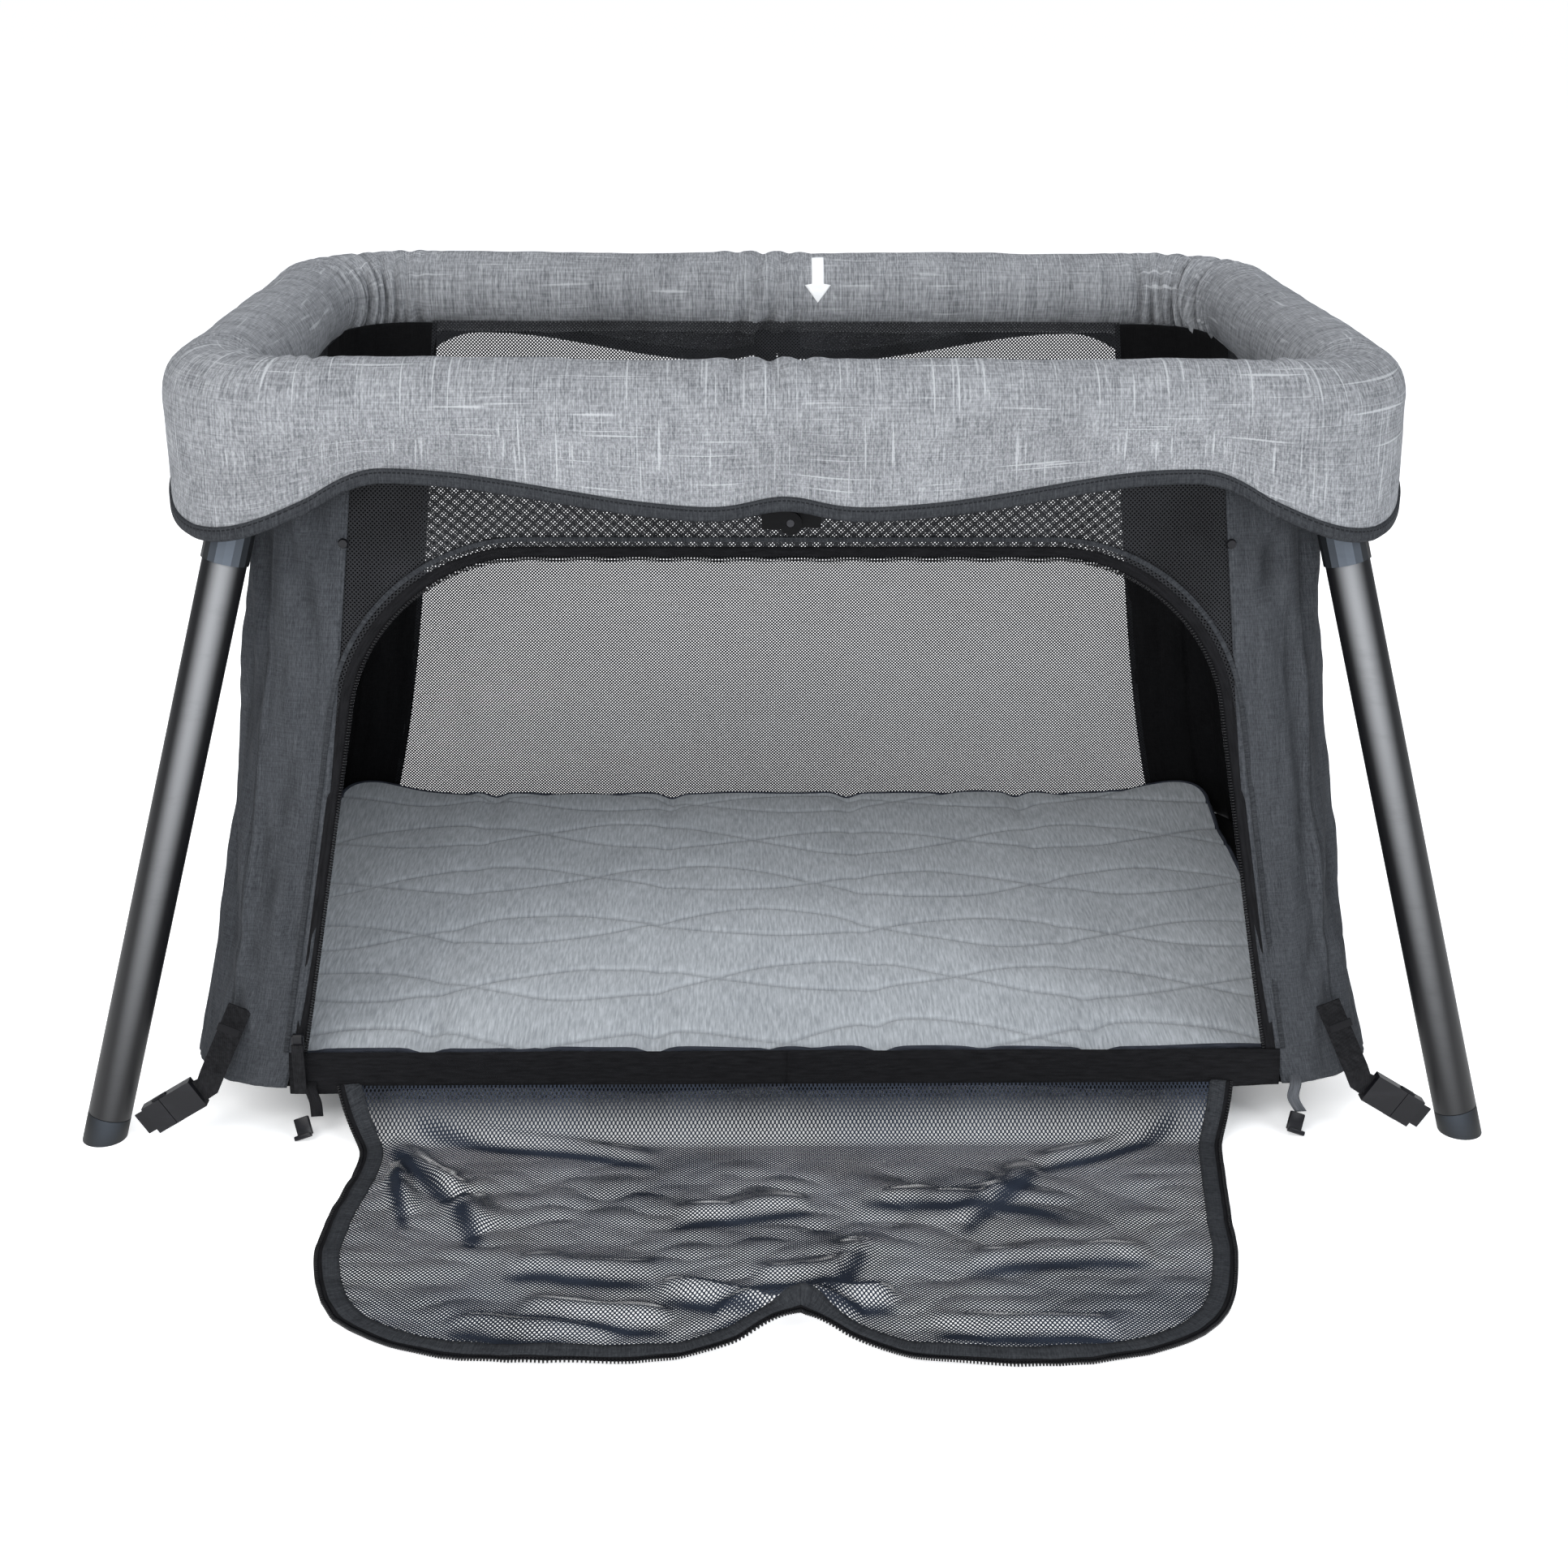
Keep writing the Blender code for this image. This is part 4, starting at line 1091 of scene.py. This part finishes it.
doorFolds = [
    # x and run of both ends, height, half width
    (-0.31, 0.020, -0.10, 0.075, 0.012, 0.0045), (-0.33, 0.035, -0.26, 0.135, 0.014, 0.0050),
    (-0.26, 0.135, -0.235, 0.185, 0.009, 0.0060), (-0.32, 0.070, -0.30, 0.160, 0.011, 0.0045),
    (0.33, 0.020, 0.20, 0.085, 0.011, 0.0045), (0.20, 0.085, 0.13, 0.17, 0.006, 0.0060),
    (-0.02, 0.29, -0.10, 0.262, 0.011, 0.0050), (-0.01, 0.285, 0.075, 0.268, 0.012, 0.0050),
    (-0.06, 0.30, 0.05, 0.297, 0.013, 0.0042), (0.02, 0.27, 0.05, 0.20, 0.006, 0.0050),
    (-0.25, 0.295, -0.13, 0.318, 0.006, 0.0042), (-0.20, 0.275, -0.09, 0.300, 0.006, 0.0040),
    (0.10, 0.300, 0.24, 0.312, 0.006, 0.0042), (-0.10, 0.150, 0.02, 0.135, 0.005, 0.0050),
    (0.06, 0.120, 0.22, 0.150, 0.004, 0.0060), (-0.22, 0.225, -0.10, 0.245, 0.005, 0.0055),
    (0.13, 0.235, 0.27, 0.215, 0.005, 0.0055), (-0.03, 0.245, 0.035, 0.24, 0.006, 0.0045),
]


def doorFold(x, run):
    tall, closed = 0.0, 0.0
    spot = Vector((x + 0.012 * wobble(x * 9, run * 9, 4.0), run + 0.012 * wobble(x * 8, run * 11, 7.0)))
    for x1, r1, x2, r2, height, width in doorFolds:
        t, away = fromLine(spot, Vector((x1, r1)), Vector((x2, r2)))
        fade = max(1 - (2 * abs(t - 0.5)) ** 4, 0.0) if 0 < t < 1 else 0.0
        if fade <= 0:
            continue
        tall += height * fade * bell(away, width * 2.2)
        closed = max(closed, fade * bell(away, width))
    return tall, closed


def doorHeight(x, run):
    # the door drops from the sill to the floor, then lies in soft folds
    base = 0.002
    if run < doorLay["drop"]:
        base += slingLow * (1 - run / doorLay["drop"]) ** 1.7
    far = ease((run - 0.05) / 0.08)
    soft = 0.005 * abs(wobble(x * 8, run * 16, 3.0)) + 0.0030 * abs(wobble(x * 24, run * 40, 5.0))
    middle = 0.016 * bell(x, 0.045) * ease((run - 0.24) / 0.10)
    tall = doorFold(x, run)[0] * min(run / 0.02, 1.0)
    return base + far * soft + (0.35 + 0.65 * far) * tall + middle


def doorEdge(share):
    # outline from the left end of the sill round to the right end, share 0 to 1
    if share < 0.5:
        return smoothLine(doorLay["leftEdge"], share * 2)
    return smoothLine(doorLay["rightEdge"], (1 - share) * 2)


doorCentre = Vector((0.0, 0.15))


def layPoint(spot, lift=0.0):
    x, run = spot.x, max(spot.y, 0.0)
    forward = run - 0.018 * ease(run / 0.06)
    return Vector((x, midY + doorFront - forward * 0.985, doorHeight(x, run) + lift))


def doorRun(y):
    return max(midY + doorFront - y, 0.0)


def edgeFrame(share):
    here = doorEdge(share)
    ahead = doorEdge(min(share + 0.003, 1.0)) - doorEdge(max(share - 0.003, 0.0))
    out = Vector((ahead.y, -ahead.x)).normalized()
    if out.dot(here - doorCentre) < 0:
        out = -out
    return here, out


def makeDoor():
    rim = doorLay["tape"] + doorLay["binding"] - 0.001

    def netPoint(u, v):
        # lines run from the sill to the matching point of the free edge
        here, out = edgeFrame(u)
        inner = here - out * rim
        foot = Vector(((u - 0.5) * 2 * (doorLay["rightEdge"][0][0] - rim), 0.0))
        return layPoint(foot.lerp(Vector((inner.x, max(inner.y, 0.0))), v))

    net = clothGrid("door_net", 300, 150, netPoint, "doorNet", 0.0006, uv=topUv, flip=True)
    paintPoints(net, "folded", lambda p: 0.62 * doorFold(p.x, doorRun(p.y))[1]
                + 0.20 * max(wobble(p.x * 7, p.y * 13, 2.0), 0.0))

    def strip(name, low, high, lift, look, thickness):
        def place(u, v):
            here, out = edgeFrame(u)
            return layPoint(here - out * (low + (high - low) * v), lift)

        return clothGrid(name, 360, 3, place, look, thickness, uv=bandUv(1.6, high - low, low), flip=True)

    tapeEnd = doorLay["tape"]
    binding = strip("door_binding", tapeEnd - 0.001, tapeEnd + doorLay["binding"], 0.0012, "binding", 0.0018)
    tape = strip("door_tape", 0.0, tapeEnd, 0.0008, "tape", 0.0014)
    places = []
    for i in range(doorLay["teeth"]):
        here, out = edgeFrame((i + 0.5) / doorLay["teeth"])
        spot = layPoint(here + out * 0.0010, 0.0010)
        places.append((spot, Matrix.Rotation(math.atan2(-out.y, out.x), 4, "Z")))
    return net, binding, tape, makeTeeth("door_teeth", places, doorLay["tooth"])


doorPieces = makeDoor()
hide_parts("door")
for piece in doorPieces:
    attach(piece, "door")
    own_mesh(piece)
list(doorPieces[1:])
print("door made")

for piece in (railCover, hemBinding):
    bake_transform(piece)
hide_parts("rail_cover_left", "rail_cover_right")
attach(pressArrow, "right_frame")


def ribbon(name, points, width, thickness, across, look):
    # a band along the points; across gives the direction of its width
    spots = [Vector(point) for point in points]
    length = sum((b - a).length for a, b in zip(spots, spots[1:]))

    def place(u, v):
        return smoothLine(spots, u) + Vector(across).normalized() * width * (v - 0.5)

    return clothGrid(name, (len(spots) - 1) * 6, 4, place, look, thickness, uv=bandUv(length, width))


def block(name, size, matrix, look, edge=0.001):
    bm = bmesh.new()
    bmesh.ops.create_cube(bm, size=1.0, matrix=matrix @ Matrix.Diagonal((*size, 1.0)))
    bmesh.ops.bevel(bm, geom=bm.edges[:], offset=edge, segments=2, profile=0.5, affect="EDGES", material=-1)
    return finishMesh(name, bm, look, sharp=40)


def disc(name, centre, axis, radius, depth, look):
    bm = bmesh.new()
    turn = Vector(axis).to_track_quat("Z", "Y").to_matrix().to_4x4()
    bmesh.ops.create_cone(bm, cap_ends=True, segments=20, radius1=radius, radius2=radius * 0.8, depth=depth,
                          matrix=Matrix.Translation(centre) @ turn)
    return finishMesh(name, bm, look, sharp=40)


def makeTies():
    # the ties that hold the folded bundle: a stub of tape under each front corner, ending in a clip
    front = midY - halfY(slingLow) - 0.004
    for label, side, x, look in (("left", -1, -0.395, "webbing"), ("right", 1, 0.428, "greyTape")):
        line = [(x, front + 0.012, 0.046), (x - 0.001, front - 0.004, 0.042),
                (x - 0.003 * side, front - 0.008, 0.030), (x + 0.004, front - 0.010, 0.018)]
        tape = ribbon("tie_tape_" + label, line, 0.010, 0.0014, (1, 0.1, 0), look)
        lean = Matrix.Rotation(0.35 * side, 4, "Y") @ Matrix.Rotation(-0.5, 4, "X")
        spot = Vector((x + 0.003 * side - 0.004, front - 0.015, 0.011))
        clip = block("tie_clip_" + label, (0.013, 0.004, 0.016), Matrix.Translation(spot) @ lean, "plastic")
        foot = block("tie_bar_" + label, (0.015, 0.005, 0.004),
                     Matrix.Translation(spot + Vector((0, -0.004, -0.007))) @ lean, "plastic")
        for piece in (tape, clip, foot):
            wallMotion(piece, label)


def makeSnaps():
    # a small snap near the top inner edge of each front corner panel
    for label, side in (("left", -1), ("right", 1)):
        spot = slingPoint(0.992, 0.492, 0.0028, side)
        snap = disc("panel_snap_" + label, spot, (0, -1, 0.05), 0.0042, 0.0026, "plastic")
        wallMotion(snap, label)


def makeBuckleTrim():
    # the stitched end of each strap on the sling, and the release prongs of each buckle
    for node in [name for name in frame["nodes"] if name.startswith("buckle_socket_")]:
        corner = node[len("buckle_socket_"):]
        sideX = -1 if corner.endswith("left") else 1
        sideY = -1 if corner.startswith("front") else 1
        low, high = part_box(node)
        centre = (low + high) / 2
        lean = Matrix.Rotation(math.radians(32) * sideX, 4, "Y")
        for edge in (-1, 1):
            offset = lean.to_3x3() @ Vector((sideX * 0.016, 0, edge * 0.0125))
            name = "buckle_prong_{}_{}".format(corner, "top" if edge > 0 else "low")
            place = Matrix.Translation(centre + offset) @ lean
            prong = block(name, (0.014, 0.0055, 0.0035), place, "plastic", 0.0012)
            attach(prong, "buckle_" + corner)
        strapLow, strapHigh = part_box("corner_strap_" + corner)
        topX = strapLow.x if sideX > 0 else strapHigh.x
        patch = Vector((topX + sideX * 0.012, strapLow.y - 0.0008 if sideY < 0 else strapHigh.y + 0.0008,
                        strapHigh.z - 0.008))
        place = Matrix.Translation(patch) @ Matrix.Rotation(-0.42 * sideX, 4, "Y")
        stitched = block("strap_patch_" + corner, (0.019, 0.0022, 0.007), place, "webbing", 0.0008)
        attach(stitched, "buckle_" + corner)


leg = {"radius": 0.0175, "cap": 0.022, "head": 0.040, "seam": 0.0006, "segments": 72}


def makeLegSkins():
    # smooth tubes and caps over the legs, from each leg's pivot to where its foot stands
    pivots = {joint["name"]: Vector(joint["pos_m"]) for joint in frame["record"]["behaviour"]["joints"]
              if joint["name"].startswith("leg_fold_")}
    feet = {mount["name"]: Vector(mount["pos_m"]) for mount in frame["record"]["mounts"]}
    for joint, pivot in pivots.items():
        corner = joint[len("leg_fold_"):]
        foot = feet["foot_" + corner]
        down = (foot - pivot).normalized()
        turn = (-down).to_track_quat("Z", "Y").to_matrix().to_4x4()

        def column(name, start, end, look, level=False):
            bm = bmesh.new()
            place = Matrix.Translation(pivot + down * (start + end) / 2) @ turn
            bmesh.ops.create_cone(bm, cap_ends=True, segments=leg["segments"], radius1=leg["radius"],
                                  radius2=leg["radius"], depth=end - start, matrix=place)
            if level:
                cut = bmesh.ops.bisect_plane(bm, geom=bm.verts[:] + bm.edges[:] + bm.faces[:], plane_co=foot,
                                             plane_no=(0, 0, -1), clear_outer=True)
                rim = [part for part in cut["geom_cut"] if isinstance(part, bmesh.types.BMEdge)]
                bmesh.ops.contextual_create(bm, geom=rim)
            rims = [edge for edge in bm.edges if edge.calc_face_angle(0) > 0.8]
            bmesh.ops.bevel(bm, geom=rims, offset=leg["seam"], segments=2, profile=0.5, affect="EDGES",
                            material=-1)
            piece = finishMesh(name, bm, look, sharp=40)
            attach(piece, "leg_" + corner)
            return piece

        length = (foot - pivot).length
        tube = column("tube_" + corner, leg["head"], length - leg["cap"], "tube")
        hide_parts("leg_tube_" + corner)
        cap = column("cap_" + corner, length - leg["cap"] + 0.0002, length + 0.02, "foot", level=True)
        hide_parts("foot_cap_" + corner)


makeLegSkins()
makeTies()
makeSnaps()
makeBuckleTrim()
print("trim made")


def finishNodes():
    names = {"leg_tube": "tube", "leg_knuckle": "collar", "foot_cap": "foot", "corner_bracket": "plastic",
             "middle_hinge": "shaded", "leg_pin": "steel", "hinge_pin": "steel", "rail_tube": "tube",
             "lock_button": "button", "buckle_plug": "plastic", "buckle_socket": "plastic",
             "corner_strap": "strap", "zip_slider": "plastic", "zip_pull": "strap"}
    for name, node in frame["nodes"].items():
        for start, look in names.items():
            if name.startswith(start):
                node.material_slots[0].material = looks[look]


finishNodes()


def makeStudio():
    bm = bmesh.new()
    bmesh.ops.create_grid(bm, x_segments=1, y_segments=1, size=60.0)
    mesh = bpy.data.meshes.new("floor")
    bm.to_mesh(mesh)
    bm.free()
    floor = bpy.data.objects.new("floor", mesh)
    bpy.context.scene.collection.objects.link(floor)
    material, tree, shader, where = newMaterial("pale floor", 0.9, 0.0, 0.1)
    shader.inputs["Base Color"].default_value = (0.93, 0.935, 0.94, 1.0)
    shader.inputs["Emission Color"].default_value = (1.0, 1.0, 1.0, 1.0)
    split = tree.nodes.new("ShaderNodeSeparateXYZ")
    tree.links.new(where.outputs["Object"], split.inputs[0])
    # the floor glows only outside the footprint, so that its shadow stays
    acrossX = mathNode(tree, "DIVIDE", mathNode(tree, "ABSOLUTE", split.outputs[0]), 0.46)
    fromMiddle = mathNode(tree, "ABSOLUTE", mathNode(tree, "SUBTRACT", split.outputs[1], midY))
    acrossY = mathNode(tree, "DIVIDE", fromMiddle, 0.34)
    under = ramp(tree, mathNode(tree, "MAXIMUM", acrossX, acrossY), 0.80, 1.12)
    tree.links.new(times(tree, under, 0.72), shader.inputs["Emission Strength"])
    mesh.materials.append(material)

    world = bpy.data.worlds.new("studio")
    bpy.context.scene.world = world
    world.use_nodes = True
    tree = world.node_tree
    back = tree.nodes["Background"]
    rays = tree.nodes.new("ShaderNodeLightPath")
    tree.links.new(mixColour(tree, rays.outputs["Is Camera Ray"], (0.30, 0.315, 0.34), (1.05, 1.05, 1.05)),
                   back.inputs["Color"])

    # place, size in metres, watts and colour
    lights = {
        "key": ((-1.7, -2.4, 3.0), 2.2, 66.0, (1.0, 0.99, 0.97)),
        "fill": ((2.4, -2.0, 2.4), 1.8, 36.0, (0.94, 0.97, 1.0)),
        "top": ((0.2, 0.8, 3.6), 2.6, 46.0, (0.97, 0.98, 1.0)),
        "front": ((-0.3, -4.2, 1.3), 1.3, 62.0, (0.96, 0.98, 1.0)),
    }
    for name, (place, size, power, colour) in lights.items():
        data = bpy.data.lights.new(name, "AREA")
        data.shape = "SQUARE"
        data.size = size
        data.energy = power
        data.color = colour
        lamp = bpy.data.objects.new(name, data)
        lamp.location = place
        lamp.rotation_euler = (Vector((0, midY, 0.3)) - Vector(place)).to_track_quat("-Z", "Y").to_euler()
        bpy.context.scene.collection.objects.link(lamp)


def makeCamera():
    # metres, degrees and the lens in millimetres
    view = {"x": -0.043, "back": 1.978, "height": 0.9423, "down": 20.93, "turn": -1.35, "roll": 0.38,
            "lens": 51.24}
    data = bpy.data.cameras.new("camera")
    data.lens = view["lens"]
    data.sensor_width = 36.0
    camera = bpy.data.objects.new("camera", data)
    turn = Matrix.Rotation(math.radians(view["turn"]), 4, "Z")
    turn = turn @ Matrix.Rotation(math.radians(90 - view["down"]), 4, "X")
    turn = turn @ Matrix.Rotation(math.radians(view["roll"]), 4, "Z")
    camera.matrix_world = Matrix.Translation((view["x"], midY - view["back"], view["height"])) @ turn
    bpy.context.scene.collection.objects.link(camera)
    bpy.context.scene.camera = camera


makeStudio()
makeCamera()
bpy.context.scene.view_settings.view_transform = "Standard"
print("studio made")
